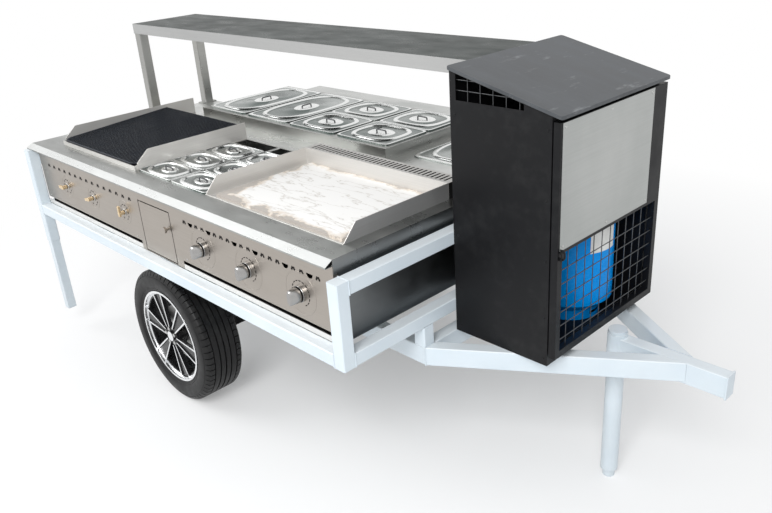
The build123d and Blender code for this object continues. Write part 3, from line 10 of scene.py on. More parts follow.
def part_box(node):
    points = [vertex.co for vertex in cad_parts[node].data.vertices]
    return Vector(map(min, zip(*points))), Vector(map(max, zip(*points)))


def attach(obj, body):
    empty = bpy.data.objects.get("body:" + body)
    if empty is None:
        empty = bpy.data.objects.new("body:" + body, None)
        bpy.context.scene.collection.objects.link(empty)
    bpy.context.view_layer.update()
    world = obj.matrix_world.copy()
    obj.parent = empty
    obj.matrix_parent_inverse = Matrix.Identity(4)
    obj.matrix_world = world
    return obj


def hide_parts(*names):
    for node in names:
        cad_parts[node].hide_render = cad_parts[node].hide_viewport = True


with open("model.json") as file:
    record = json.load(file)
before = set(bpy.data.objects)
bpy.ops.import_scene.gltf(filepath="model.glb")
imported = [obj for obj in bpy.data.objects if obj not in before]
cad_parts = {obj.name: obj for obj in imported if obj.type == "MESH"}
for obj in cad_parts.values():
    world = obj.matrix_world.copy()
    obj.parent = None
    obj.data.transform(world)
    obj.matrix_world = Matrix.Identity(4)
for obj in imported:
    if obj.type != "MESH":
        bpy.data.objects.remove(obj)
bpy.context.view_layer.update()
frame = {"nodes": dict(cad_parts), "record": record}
nodes = frame["nodes"]

# All sizes and places are in metres

# Camera as the photograph was taken
CAMERA_PLACE = Vector((2.406, -2.169, 2.021))
CAMERA_TURN = radians(137.133)
CAMERA_TILT = radians(-24.228)
CAMERA_ROLL = radians(-4.041)
CAMERA_LENS = 36.317
CAMERA_SENSOR = 36.0

# Light and floor; each lamp has its name, place, size and watts
ROOM_LIGHT = 0.62
ROOM_COLOUR = (0.96, 0.98, 1.0, 1.0)
WHITE = (1.0, 1.0, 1.0, 1.0)
LAMP_AIM = Vector((0.0, 0.0, 0.6))
LAMPS = (("key_lamp", (3.2, -5.0, 5.0), 3.0, 330.0), ("fill_lamp", (-4.5, -3.5, 4.0), 3.5, 130.0))
FLOOR_REACH = 30.0

# Front panels with their knobs and gas cocks
PANEL_Y = -0.809
KNOBS_X = (-0.082, 0.2165, 0.515)
KNOBS_Z = 0.87
COCKS_X = (-1.29, -1.01, -0.707)
COCKS_Z = 0.878

# Each pan lid: middle x and y, half length, half width, underside, share of its raised ring, half sizes of its dish
LID_Z = 1.0436
RAISED_LID_Z = 1.0986
FRONT_LIDS = [
    (x, y, 0.1322, 0.0807, LID_Z, 0.82, (0.044, 0.027)) for y in (-0.632, -0.468, -0.304) for x in (-0.5735, -0.3065)
]
REAR_LIDS = [
    (x, y, 0.1622, 0.2647, underside, 0.86, (0.05, 0.062))
    for x, y, underside in ((-1.0975, 0.281, RAISED_LID_Z), (-0.7525, 0.281, RAISED_LID_Z), (0.3275, 0.366, LID_Z))
] + [
    (x, y, 0.1622, 0.1322, RAISED_LID_Z, 0.78, (0.062, 0.045)) for x in (-0.4075, -0.0625) for y in (0.1475, 0.4145)
]

# Chassis rails with their springs
RAILS_Y = (-0.4665, 0.4705)
HANGERS_X = (-0.885, -0.175)
CLAMPS_X = (-0.588, -0.472)


def add_node(tree, kind, inputs=None, **settings):
    """A node with its settings, and its inputs given as values or as other nodes' outputs."""
    node = tree.nodes.new(kind)
    for setting, value in settings.items():
        setattr(node, setting, value)
    for socket, value in (inputs or {}).items():
        if isinstance(value, bpy.types.NodeSocket):
            tree.links.new(value, node.inputs[socket])
        else:
            node.inputs[socket].default_value = value
    return node


class Finish:
    """One procedural finish, read in each piece's own metres."""

    def __init__(self, name, colour, roughness, metallic=0.0, **sockets):
        self.material = bpy.data.materials.new(name)
        self.material.use_nodes = True
        self.tree = self.material.node_tree
        self.shader = self.tree.nodes["Principled BSDF"]
        self.shader.inputs["Base Color"].default_value = (*colour, 1.0)
        self.shader.inputs["Roughness"].default_value = roughness
        self.shader.inputs["Metallic"].default_value = metallic
        for socket, value in sockets.items():
            self.shader.inputs[socket.replace("_", " ").title().replace("Ior", "IOR")].default_value = value
        coordinates = self.add("ShaderNodeTexCoord").outputs
        self.place = coordinates["Object"]
        self.facing = coordinates["Normal"]

    def add(self, kind, inputs=None, **settings):
        """A node of the finish."""
        return add_node(self.tree, kind, inputs, **settings)

    def link(self, value, socket):
        """Feeds a socket of the shader."""
        self.tree.links.new(value, self.shader.inputs[socket])

    def at(self, axis):
        """Where a point lies along an axis."""
        return self.add("ShaderNodeSeparateXYZ", {"Vector": self.place}).outputs[axis]

    def faces(self, axis):
        """How far a face looks along an axis, from -1 to 1."""
        return self.add("ShaderNodeSeparateXYZ", {"Vector": self.facing}).outputs[axis]

    def grain(self, scale, stretch=(1.0, 1.0, 1.0), detail=4.0, rough=0.55, place=None):
        """Noise whose grains are drawn out along the axes with a small stretch."""
        place = self.add("ShaderNodeMapping", {"Vector": place or self.place, "Scale": stretch}).outputs["Vector"]
        noise = self.add("ShaderNodeTexNoise", {"Vector": place, "Scale": scale, "Detail": detail, "Roughness": rough})
        return noise.outputs["Fac"]

    def spread(self, value, low, high, start=0.0, end=1.0):
        """The value between low and high laid out from start to end."""
        inputs = {"Value": value, "From Min": low, "From Max": high, "To Min": start, "To Max": end}
        return self.add("ShaderNodeMapRange", inputs).outputs["Result"]

    def reckon(self, operation, first, second=0.0):
        """One piece of arithmetic."""
        return self.add("ShaderNodeMath", {0: first, 1: second}, operation=operation).outputs["Value"]

    def times(self, first, second):
        """The product of two numbers."""
        return self.reckon("MULTIPLY", first, second)

    def apart(self, first, second):
        """The distance between two numbers."""
        return self.reckon("ABSOLUTE", self.reckon("SUBTRACT", first, second))

    def blend(self, share, first, second):
        """Colour that goes from first to second with share."""
        ends = [end if isinstance(end, bpy.types.NodeSocket) else (*end, 1.0) for end in (first, second)]
        return self.add("ShaderNodeMix", {0: share, 6: ends[0], 7: ends[1]}, data_type="RGBA").outputs[2]

    def paint(self, colour):
        """Gives the shader its colour."""
        self.link(colour, "Base Color")

    def polish(self, wear, low, high, start, end):
        """Roughness from start to end as the wear goes from low to high."""
        self.link(self.spread(wear, low, high, start, end), "Roughness")

    def relief(self, height, depth, round_edge=0.0):
        """Bump of a depth, over edges that look rounded by round_edge."""
        inputs = {"Height": height, "Distance": depth, "Strength": 1.0}
        if round_edge:
            inputs["Normal"] = self.add("ShaderNodeBevel", {"Radius": round_edge}, samples=4).outputs["Normal"]
        self.link(self.add("ShaderNodeBump", inputs).outputs["Normal"], "Normal")

    def ripple(self, scale, detail, depth, round_edge=0.0):
        """Relief of even noise."""
        self.relief(self.grain(scale, detail=detail), depth, round_edge)


def brushed_steel(
    name, colour, roughness, tint, front=None, low=None, hitch=None, hollow=None, metallic=1.0, shine=0.5,
):
    """Rolled stainless sheet: fine lines along it, soft handling marks and a tint in patches.

    front: a lighter colour painted on the faces towards the cooks, as painted light.
    low: a height, the share of a painted shade under it, the shade's colour and the height over which it fades in.
    hitch: from which X the faces towards the hitch get a painted shade, and the shade's colour.
    hollow: the middle Y, half width and top of a duct, painted near black inside as shade.
    """
    steel = Finish(name, colour, roughness, metallic=metallic, specular_ior_level=shine)
    along_x = steel.grain(3.0, (1.0, 220.0, 220.0), 3.0)
    along_y = steel.grain(3.0, (220.0, 1.0, 220.0), 3.0)
    turned = steel.reckon("GREATER_THAN", steel.reckon("ABSOLUTE", steel.faces("X")), 0.7)
    lines = steel.add("ShaderNodeMix", {0: turned, 2: along_x, 3: along_y}, data_type="FLOAT").outputs[0]
    sheet = steel.blend(steel.spread(steel.grain(2.2, detail=2.0), 0.35, 0.7, 0.0, 0.6), colour, tint)
    # Painted light: faces towards the cooks get the lighter front colour
    if front:
        sheet = steel.blend(steel.spread(steel.faces("Y"), -0.4, -0.75), sheet, front)
    # Painted shade: darker under the given height
    if low:
        height, share, shade, fade = low
        sheet = steel.blend(steel.spread(steel.at("Z"), height, height - fade, 0.0, share), sheet, shade)
    # Painted shade on the faces towards the hitch past the given X
    if hitch:
        from_x, shade = hitch
        past = steel.reckon("GREATER_THAN", steel.at("X"), from_x)
        sheet = steel.blend(steel.times(past, steel.spread(steel.faces("X"), 0.4, 0.8)), sheet, shade)
    dark = steel.blend(0.16, sheet, (0.02, 0.02, 0.02))
    sheet = steel.blend(steel.spread(lines, 0.3, 0.7, 0.0, 0.6), sheet, dark)
    # Painted shade: near black inside the duct
    if hollow:
        middle_y, half_width, top = hollow
        between = steel.reckon("LESS_THAN", steel.apart(steel.at("Y"), middle_y), half_width)
        under = steel.reckon("LESS_THAN", steel.at("Z"), top)
        sheet = steel.blend(steel.times(between, under), sheet, (0.012, 0.012, 0.012))
    steel.paint(sheet)
    steel.polish(steel.grain(7.0, (1.0, 2.0, 1.6)), 0.3, 0.75, roughness - 0.05, roughness + 0.08)
    steel.relief(lines, 0.00003, 0.0012)
    return steel.material


def deck_steel():
    """The worktop: grey-green sheet, a painted highlight on the nosing bevel, painted shade on the folded edges towards
    the hitch and a painted dark reflection along the front strip towards the rear end.
    """
    deck = Finish("worktop_sheet", (0.3, 0.31, 0.3), 0.3, metallic=1.0)
    lines = deck.grain(3.0, (1.0, 200.0, 200.0), 3.0)
    clouds = deck.grain(2.6, (1.0, 1.8, 1.0), 3.0)
    sheet = deck.blend(deck.spread(clouds, 0.35, 0.68), (0.43, 0.445, 0.43), (0.6, 0.605, 0.59))
    # Painted dark reflection along the front strip, stronger towards the rear end
    rearwards = deck.spread(deck.at("X"), -1.2, 0.5, 0.5, 0.0)
    near_cooks = deck.spread(deck.at("Y"), -0.7, -0.62, 1.0, 0.0)
    sheet = deck.blend(deck.times(rearwards, near_cooks), sheet, (0.1, 0.105, 0.1))
    # Painted shade on the faces towards the hitch
    sheet = deck.blend(deck.spread(deck.faces("X"), 0.5, 0.8), sheet, (0.26, 0.265, 0.265))
    sheet = deck.blend(deck.spread(lines, 0.3, 0.7, 0.0, 0.12), sheet, (0.1, 0.1, 0.1))
    # Painted highlight: the nosing bevel, facing the cooks and upwards, is painted near white and made less metallic
    bevel = deck.times(deck.spread(deck.faces("Y"), -0.3, -0.6), deck.spread(deck.faces("Z"), 0.2, 0.4))
    deck.paint(deck.blend(bevel, sheet, (0.79, 0.8, 0.79)))
    deck.link(deck.spread(bevel, 0.0, 1.0, 1.0, 0.15), "Metallic")
    deck.polish(deck.grain(8.0, (1.0, 2.2, 1.0)), 0.3, 0.75, 0.24, 0.38)
    deck.relief(lines, 0.00001, 0.0012)
    return deck.material


def frame_paint():
    """Pale blue-white enamel on tube, with a faint orange peel, road dust low down and top faces painted lighter as
    painted light.
    """
    enamel = Finish("pale_enamel", (0.6, 0.68, 0.73), 0.36, coat_weight=0.15, coat_roughness=0.2)
    dust = enamel.times(enamel.spread(enamel.at("Z"), 0.15, 0.75, 0.35, 0.05), enamel.grain(14.0, detail=6.0))
    clean = enamel.blend(enamel.spread(enamel.grain(3.0), 0.35, 0.65), (0.58, 0.66, 0.72), (0.64, 0.71, 0.76))
    # Painted light: faces that look up are lighter
    lit = enamel.blend(enamel.spread(enamel.faces("Z"), 0.4, 0.8, 0.0, 0.7), clean, (0.8, 0.845, 0.87))
    enamel.paint(enamel.blend(dust, lit, (0.42, 0.42, 0.4)))
    enamel.polish(enamel.grain(22.0), 0.3, 0.7, 0.28, 0.44)
    enamel.ripple(260.0, 2.0, 0.00012, 0.002)
    return enamel.material


def black_enamel(name, colour=(0.006, 0.0062, 0.0072), roughness=0.4):
    """Satin black enamel with soft ripples, fine scratches and pale dust."""
    black = Finish(name, colour, roughness, specular_ior_level=0.2)
    dust = black.times(black.grain(5.0, detail=5.0), black.grain(30.0))
    black.paint(black.blend(black.spread(dust, 0.26, 0.5, 0.0, 0.05), colour, (0.16, 0.16, 0.155)))
    black.polish(black.grain(9.0), 0.3, 0.75, roughness - 0.04, roughness + 0.1)
    black.ripple(140.0, 3.0, 0.00008, 0.0012)
    return black.material


def roof_enamel():
    """Weathered grey-black paint on the locker's roof, chalky with rubbed streaks."""
    roof = Finish("roof_enamel", (0.12, 0.125, 0.13), 0.46, specular_ior_level=0.35)
    streaks = roof.grain(4.0, (0.7, 3.0, 1.0), 7.0, 0.62)
    rubbed = roof.grain(26.0, (1.0, 0.25, 1.0), 5.0, 0.7)
    base = roof.blend(roof.spread(streaks, 0.35, 0.72), (0.04, 0.044, 0.049), (0.105, 0.112, 0.12))
    roof.paint(roof.blend(roof.spread(rubbed, 0.6, 0.74, 0.0, 0.45), base, (0.34, 0.35, 0.36)))
    roof.polish(streaks, 0.3, 0.7, 0.34, 0.55)
    roof.ripple(45.0, 4.0, 0.0002, 0.0012)
    return roof.material


def pressed_steel():
    """Pressed pan lids: darker flats, embossed rings painted bright as a painted highlight, slightly wavy."""
    lid = Finish("pan_steel_painted_highlight", (0.6, 0.61, 0.6), 0.22, metallic=1.0)
    height = lid.at("Z")
    raised = lid.times(lid.reckon("GREATER_THAN", height, 1.09), RAISED_LID_Z - LID_Z)
    rise = lid.reckon("SUBTRACT", lid.reckon("SUBTRACT", height, LID_Z), raised)
    flats = lid.blend(lid.spread(lid.grain(2.6, detail=1.0), 0.42, 0.58), (0.1, 0.125, 0.118), (0.36, 0.38, 0.37))
    # Painted highlight: the raised rings are painted near white
    lid.paint(lid.blend(lid.spread(rise, 0.0036, 0.0052), flats, (0.8, 0.81, 0.8)))
    lid.polish(lid.grain(30.0, detail=5.0), 0.3, 0.75, 0.2, 0.32)
    lid.ripple(18.0, 1.0, 0.0002, 0.0015)
    return lid.material


def grate_iron():
    """Oiled black iron bars whose tops are painted lighter and bluer as a painted highlight."""
    iron = Finish("grate_iron", (0.012, 0.014, 0.018), 0.4, specular_ior_level=0.14)
    soot = iron.grain(24.0, detail=6.0)
    sooty = iron.blend(iron.spread(soot, 0.35, 0.7), (0.003, 0.004, 0.006), (0.009, 0.011, 0.015))
    # Painted highlight: upward faces lighter and bluer
    iron.paint(iron.blend(iron.spread(iron.faces("Z"), 0.8, 0.97), sooty, (0.045, 0.052, 0.066)))
    iron.polish(soot, 0.3, 0.7, 0.28, 0.52)
    iron.ripple(300.0, 3.0, 0.0002)
    return iron.material


def griddle_steel():
    """A used cooking plate: pale wrinkled grease in the middle, a ragged tan edge and bare steel outside it."""
    plate = Finish("seasoned_plate", (0.8, 0.77, 0.72), 0.46)
    low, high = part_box("griddle_plate")
    middle = (low + high) / 2
    reach = (high - low) / 2
    edge_x = plate.reckon("DIVIDE", plate.apart(plate.at("X"), middle.x), reach.x)
    edge_y = plate.reckon("DIVIDE", plate.apart(plate.at("Y"), middle.y), reach.y)
    ragged = plate.spread(plate.grain(9.0, detail=9.0, rough=0.62), 0.25, 0.75, -0.17, 0.17)
    edge = plate.reckon("ADD", plate.reckon("MAXIMUM", edge_x, edge_y), ragged)
    bare = plate.spread(edge, 0.955, 0.975)
    pull = plate.blend(plate.grain(5.0, (0.7, 2.2, 1.0), 3.0, 0.5), (-0.06, -0.06, 0.0), (0.06, 0.06, 0.0))
    pulled = plate.add("ShaderNodeVectorMath", {0: plate.place, 1: pull}, operation="ADD").outputs[0]
    wrinkles = plate.grain(7.0, (0.6, 3.0, 1.0), 5.0, 0.55, pulled)
    creases = plate.spread(plate.apart(wrinkles, 0.5), 0.0, 0.022, 0.75, 0.0)
    cream = plate.blend(creases, (0.93, 0.92, 0.9), (0.56, 0.52, 0.47))
    browned = plate.blend(plate.spread(edge, 0.86, 0.97, 0.0, 0.8), cream, (0.7, 0.59, 0.47))
    steel = plate.blend(plate.grain(18.0, detail=6.0), (0.42, 0.38, 0.34), (0.58, 0.54, 0.5))
    plate.paint(plate.blend(bare, browned, steel))
    plate.polish(bare, 0.0, 1.0, 0.55, 0.4)
    plate.relief(wrinkles, 0.0006, 0.001)
    return plate.material


def cylinder_blue():
    """Glossy blue gas cylinder paint with scuffs."""
    blue = Finish("cylinder_blue", (0.0, 0.19, 0.52), 0.34, specular_ior_level=0.12)
    scuff = blue.times(blue.grain(50.0, detail=7.0, rough=0.7), blue.grain(9.0))
    blue.paint(blue.blend(blue.spread(scuff, 0.32, 0.42, 0.0, 0.4), (0.0, 0.3, 0.86), (0.0, 0.34, 0.82)))
    blue.polish(scuff, 0.2, 0.45, 0.2, 0.45)
    blue.ripple(120.0, 2.0, 0.0001)
    return blue.material


def rim_alloy():
    """Diamond-cut wheel: bright on the outward faces, gloss black in the recesses and down the sides."""
    rim = Finish("diamond_cut_rim", (0.85, 0.86, 0.87), 0.2)
    low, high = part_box("rim_near")
    hub = (low + high) / 2
    outer = max(abs(low.y), abs(high.y))
    depth = rim.reckon("ABSOLUTE", rim.at("Y"))
    across = rim.reckon("SUBTRACT", rim.at("X"), hub.x)
    rise = rim.reckon("SUBTRACT", rim.at("Z"), hub.z)
    radius = rim.reckon("POWER", rim.reckon("ADD", rim.times(across, across), rim.times(rise, rise)), 0.5)
    ribs = rim.spread(depth, outer - 0.0115, outer - 0.0095)
    flat = rim.spread(rim.reckon("ABSOLUTE", rim.faces("Y")), 0.8, 0.95)
    lip = rim.spread(radius, 0.2005, 0.2015)
    front = rim.spread(depth, outer - 0.03, outer - 0.02)
    bright = rim.reckon("MAXIMUM", rim.times(ribs, flat), rim.times(lip, front))
    rim.paint(rim.blend(bright, (0.012, 0.012, 0.013), (0.86, 0.87, 0.88)))
    rim.link(bright, "Metallic")
    rim.polish(rim.grain(60.0), 0.3, 0.7, 0.18, 0.32)
    rim.ripple(500.0, 1.0, 0.00003, 0.001)
    return rim.material


def mottled(name, colour, roughness, patches, first, second, wear, ripple, **sockets):
    """A plain finish with patches of two colours, worn places and a fine ripple.

    patches: scale, detail, lowest and highest grain, and the share of the second colour at the highest.
    wear: scale, detail, and the roughness of the smoothest and the roughest places.
    ripple: scale, detail, depth, and how far the edges look rounded.
    """
    finish = Finish(name, colour, roughness, **sockets)
    scale, detail, low, high, share = patches
    finish.paint(finish.blend(finish.spread(finish.grain(scale, detail=detail), low, high, 0.0, share), first, second))
    if wear:
        scale, detail, smooth, rough = wear
        finish.polish(finish.grain(scale, detail=detail), 0.3, 0.7, smooth, rough)
    finish.ripple(*ripple)
    return finish.material


BOLT = mottled(
    "zinc_bolt", (0.55, 0.55, 0.54), 0.3, (120.0, 3.0, 0.0, 1.0, 1.0), (0.62, 0.62, 0.61), (0.42, 0.42, 0.41),
    None, (300.0, 2.0, 0.00005), metallic=1.0,
)
# Dark infill of the printed dial marks, also used as painted shade round the slots and on the knob bezels
MARK_AND_SHADE = mottled(
    "mark_and_shade_infill", (0.02, 0.018, 0.016), 0.6, (90.0, 4.0, 0.0, 1.0, 1.0), (0.006, 0.005, 0.005), (0.02, 0.018, 0.016),
    None, (200.0, 4.0, 0.00003), specular_ior_level=0.1,
)
LABEL = mottled(
    "white_label", (0.82, 0.82, 0.8), 0.5, (24.0, 5.0, 0.4, 0.75, 0.5), (0.84, 0.84, 0.82), (0.62, 0.6, 0.56),
    None, (60.0, 4.0, 0.0001),
)
FINISHES = {
    "frame_paint": frame_paint(),
    "spring_steel": black_enamel("spring_enamel", (0.03, 0.03, 0.032)),
    "axle_paint": black_enamel("axle_enamel", (0.035, 0.035, 0.037), 0.42),
    "stainless": brushed_steel("brushed_sheet", (0.36, 0.365, 0.355), 0.3, (0.44, 0.435, 0.41)),
    "pan_steel": pressed_steel(),
    "grate_iron": grate_iron(),
    "griddle_steel": griddle_steel(),
    "locker_black": black_enamel("locker_enamel"),
    "roof_grey": roof_enamel(),
    "mesh_wire": mottled(
        "dull_wire", (0.3, 0.305, 0.31), 0.4, (70.0, 5.0, 0.0, 1.0, 1.0), (0.05, 0.052, 0.055), (0.16, 0.165, 0.17),
        (120.0, 4.0, 0.32, 0.5), (300.0, 2.0, 0.0001), metallic=0.9,
    ),
    "sign_steel": brushed_steel("brushed_sign", (0.42, 0.435, 0.425), 0.36, (0.52, 0.53, 0.52)),
    "cylinder_blue": cylinder_blue(),
    "brass": mottled(
        "brass", (0.8, 0.62, 0.36), 0.26, (60.0, 4.0, 0.0, 1.0, 1.0), (0.92, 0.78, 0.56), (0.7, 0.5, 0.26),
        (90.0, 4.0, 0.18, 0.34), (200.0, 2.0, 0.0001, 0.001), metallic=1.0,
    ),
    "knob_steel": brushed_steel("turned_knob", (0.36, 0.355, 0.35), 0.24, (0.46, 0.45, 0.44)),
    "tyre_rubber": mottled(
        "tyre_rubber", (0.006, 0.006, 0.0065), 0.42, (28.0, 6.0, 0.45, 0.75, 0.35), (0.006, 0.006, 0.0065),
        (0.025, 0.025, 0.024), (28.0, 6.0, 0.36, 0.55), (400.0, 2.0, 0.00012), specular_ior_level=0.28,
    ),
    "alloy": rim_alloy(),
}
# Painted light: the fascia's faces towards the cooks are painted lighter
FASCIA = brushed_steel("warm_fascia", (0.36, 0.33, 0.295), 0.34, (0.3, 0.275, 0.25), front=(0.43, 0.392, 0.352))
# Pale, half-metallic sheet of the appliance walls: painted light, lighter than bare steel so the walls read bright
PALE_SHEET = (0.66, 0.645, 0.62)
PALE_TINT = (0.74, 0.72, 0.69)
NODE_FINISHES = {
    "counter_deck": deck_steel(),
    "griller_fascia": FASCIA,
    "griddle_fascia": FASCIA,
    "cupboard_liner": FASCIA,
    "cupboard_door": FASCIA,
    # Painted light: the sill is pale and barely metallic so its top edge reads lit
    "body_sill": brushed_steel("sill_sheet", (0.74, 0.73, 0.71), 0.4, (0.8, 0.79, 0.77), metallic=0.3),
    # Painted shade: the side sheet is darker towards the bottom
    "body_skirt": brushed_steel(
        "side_sheet", (0.18, 0.19, 0.195), 0.34, (0.25, 0.26, 0.26), low=(0.95, 0.7, (0.07, 0.075, 0.08), 0.25),
    ),
    # Painted shade: near black below 1.0425 m, the inside of the box under the grate
    "grill_box": brushed_steel(
        "sheet_with_painted_shade", PALE_SHEET, 0.36, PALE_TINT, low=(1.0425, 1.0, (0.004, 0.004, 0.004), 0.006), metallic=0.45,
    ),
    # Painted shade on the box's faces towards the hitch past x 0.6 m
    "griddle_box": brushed_steel(
        "appliance_sheet", PALE_SHEET, 0.36, PALE_TINT, hitch=(0.6, (0.33, 0.33, 0.33)), metallic=0.45,
    ),
    # Painted shade: near black inside the flue's duct
    "griddle_flue": brushed_steel(
        "flue_sheet", (0.5, 0.49, 0.47), 0.36, (0.57, 0.555, 0.53), hollow=(-0.159, 0.0385, 1.1025), metallic=0.45,
    ),
    # Painted reflection: the shelf's sheet is near black, not metallic and barely shiny, for the dark surroundings it
    # mirrors; its lip towards the cooks is painted light grey as painted light
    "overhead_shelf": brushed_steel(
        "shelf_sheet", (0.014, 0.021, 0.018), 0.3, (0.075, 0.086, 0.082), front=(0.4, 0.4, 0.395),
        metallic=0.0, shine=0.03,
    ),
}


def dress_nodes():
    """Gives every CAD node its own finish, or that of its material slot."""
    for row in frame["record"]["subparts"]:
        node = nodes[row["node"]]
        node.data.materials.clear()
        node.data.materials.append(NODE_FINISHES.get(row["node"], FINISHES[row["material_slot"]]))


def growing_tree(name, given, result):
    """A geometry tree with named inputs that ends in real geometry with the finish given."""
    tree = bpy.data.node_groups.new(name, "GeometryNodeTree")
    sockets = {}
    for label, kind in (*given, ("Finish", "Material")):
        sockets[label] = tree.interface.new_socket(label, in_out="INPUT", socket_type="NodeSocket" + kind).identifier
    tree.interface.new_socket(result, in_out="OUTPUT", socket_type="NodeSocketGeometry")
    inputs = add_node(tree, "NodeGroupInput").outputs
    real = add_node(tree, "GeometryNodeRealizeInstances")
    geometry = real.outputs["Geometry"]
    finish = add_node(tree, "GeometryNodeSetMaterial", {"Geometry": geometry, "Material": inputs["Finish"]})
    add_node(tree, "NodeGroupOutput", {result: finish.outputs["Geometry"]})
    return tree, sockets, inputs, real.inputs["Geometry"]


def tube_tree():
    """Sweeps a round tube along every line of a path."""
    given = (("Path", "Geometry"), ("Tube radius", "Float"), ("Tube sides", "Int"))
    tree, sockets, inputs, end = growing_tree("tube_along_path", given, "Tubes")
    line = add_node(tree, "GeometryNodeMeshToCurve", {"Mesh": inputs["Path"]}).outputs["Curve"]
    round_sizes = {"Radius": inputs["Tube radius"], "Resolution": inputs["Tube sides"]}
    ring = add_node(tree, "GeometryNodeCurvePrimitiveCircle", round_sizes).outputs["Curve"]
    sweep = add_node(tree, "GeometryNodeCurveToMesh", {"Curve": line, "Profile Curve": ring, "Fill Caps": True})
    tree.links.new(sweep.outputs["Mesh"], end)
    return tree, sockets


def copies_tree():
    """Sets a copy of one part on every point, turned by the point's own turn."""
    given = (("Places", "Geometry"), ("Part", "Object"), ("Part scale", "Float"))
    tree, sockets, inputs, end = growing_tree("copies_on_points", given, "Copies")
    part = add_node(tree, "GeometryNodeObjectInfo", {"Object": inputs["Part"]}).outputs["Geometry"]
    turn = add_node(tree, "GeometryNodeInputNamedAttribute", {"Name": "turn"}, data_type="FLOAT_VECTOR")
    rotation = add_node(tree, "FunctionNodeEulerToRotation", {"Euler": turn.outputs["Attribute"]}).outputs["Rotation"]
    settings = {"Points": inputs["Places"], "Instance": part, "Rotation": rotation, "Scale": inputs["Part scale"]}
    tree.links.new(add_node(tree, "GeometryNodeInstanceOnPoints", settings).outputs["Instances"], end)
    return tree, sockets


TUBES = tube_tree()
COPIES = copies_tree()
SHARP_ANGLE = radians(32)


def placed(name, data):
    """A new object in the scene."""
    thing = bpy.data.objects.new(name, data)
    bpy.context.scene.collection.objects.link(thing)
    return thing


def kept(build, name="part"):
    """What was built, as a mesh."""
    mesh = bpy.data.meshes.new(name)
    build.to_mesh(mesh)
    build.free()
    return mesh


def drawn(points, edges=(), faces=()):
    """A mesh of points, edges and faces."""
    mesh = bpy.data.meshes.new("part")
    mesh.from_pydata(points, edges, faces)
    return mesh


def plain_mesh(name, sources, finish):
    """The source meshes as one plain mesh at the origin, outward facing, smooth but for its sharp edges."""
    build = bmesh.new()
    for source in sources:
        build.from_mesh(source)
    bmesh.ops.recalc_face_normals(build, faces=build.faces)
    mesh = kept(build, name)
    mesh.materials.clear()
    mesh.materials.append(finish)
    mesh.polygons.foreach_set("use_smooth", [True] * len(mesh.polygons))
    mesh.polygons.foreach_set("material_index", [0] * len(mesh.polygons))
    mesh.set_sharp_from_angle(angle=SHARP_ANGLE)
    return placed(name, mesh)


def grown(name, seed_mesh, tree, values, finish):
    """The seed mesh put through a geometry tree and kept as a plain mesh."""
    seed = placed(name + "_seed", seed_mesh)
    group, sockets = tree
    grow = seed.modifiers.new("grow", "NODES")
    grow.node_group = group
    for label, value in values.items():
        grow[sockets[label]] = value
    graph = bpy.context.evaluated_depsgraph_get()
    baked = bpy.data.meshes.new_from_object(seed.evaluated_get(graph), depsgraph=graph)
    seed.modifiers.clear()
    bpy.data.objects.remove(seed)
    piece = plain_mesh(name, [baked], finish)
    bpy.data.meshes.remove(baked)
    return piece


def tubes(name, paths, radius, finish, sides=8):
    """Round tubes along paths, each a list of points; a path that comes back to its start is closed."""
    points = []
    edges = []
    for path in paths:
        closed = (Vector(path[0]) - Vector(path[-1])).length < 1e-6
        corners = path[:-1] if closed else path
        first = len(points)
        points += [tuple(corner) for corner in corners]
        edges += [(first + step, first + step + 1) for step in range(len(corners) - 1)]
        if closed:
            edges.append((len(points) - 1, first))
    values = {"Tube radius": radius, "Tube sides": sides, "Finish": finish}
    return grown(name, drawn(points, edges), TUBES, values, finish)


def copies(name, part_mesh, places, turns, finish):
    """A copy of the part at each place, turned by the angles given for it."""
    part = bpy.data.objects.new(name + "_part", part_mesh)
    seed = drawn([tuple(place) for place in places])
    turn = seed.attributes.new("turn", "FLOAT_VECTOR", "POINT")
    for number, angles in enumerate(turns):
        turn.data[number].vector = angles
    piece = grown(name, seed, COPIES, {"Part": part, "Part scale": 1.0, "Finish": finish}, finish)
    bpy.data.objects.remove(part)
    return piece


def merged(name, pieces, finish):
    """One piece made of several, which it takes the place of."""
    piece = plain_mesh(name, [part.data for part in pieces], finish)
    for part in pieces:
        bpy.data.objects.remove(part)
    return piece


def instead(piece, node, body="trailer"):
    """Shows the piece in place of a CAD node of the body."""
    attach(piece, body)
    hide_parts(node)


def skin(rings, closed=False):
    """A mesh drawn over rings of equally many points, its ends closed unless the last ring meets the first."""
    count = len(rings[0])
    points = [tuple(point) for ring in rings for point in ring]
    faces = []
    for level in range(len(rings) if closed else len(rings) - 1):
        lower = level * count
        upper = (level + 1) % len(rings) * count
        for step in range(count):
            after = (step + 1) % count
            faces.append((lower + step, lower + after, upper + after, upper + step))
    if not closed:
        faces.append(tuple(range(count)))
        faces.append(tuple(range(len(points) - count, len(points))))
    return drawn(points, faces=faces)


def around(count, shift=0.0):
    """Angles evenly round a circle."""
    return [2 * pi * (number + shift) / count for number in range(count)]


def upright_oval(centre, half_width, half_height, steps):
    """Points round an oval that faces along Y."""
    x, y, z = centre
    return [(x + half_width * cos(angle), y, z + half_height * sin(angle)) for angle in around(steps)]


def level_oval(centre, half_length, half_width, height, squareness, steps=48):
    """A level ring between an ellipse (2) and a rectangle with tight corners (large)."""
    ring = []
    for angle in around(steps, 0.5):
        wide, deep = cos(angle), sin(angle)
        x = copysign(abs(wide) ** (2 / squareness), wide) * half_length
        y = copysign(abs(deep) ** (2 / squareness), deep) * half_width
        ring.append((centre[0] + x, centre[1] + y, height))
    return ring


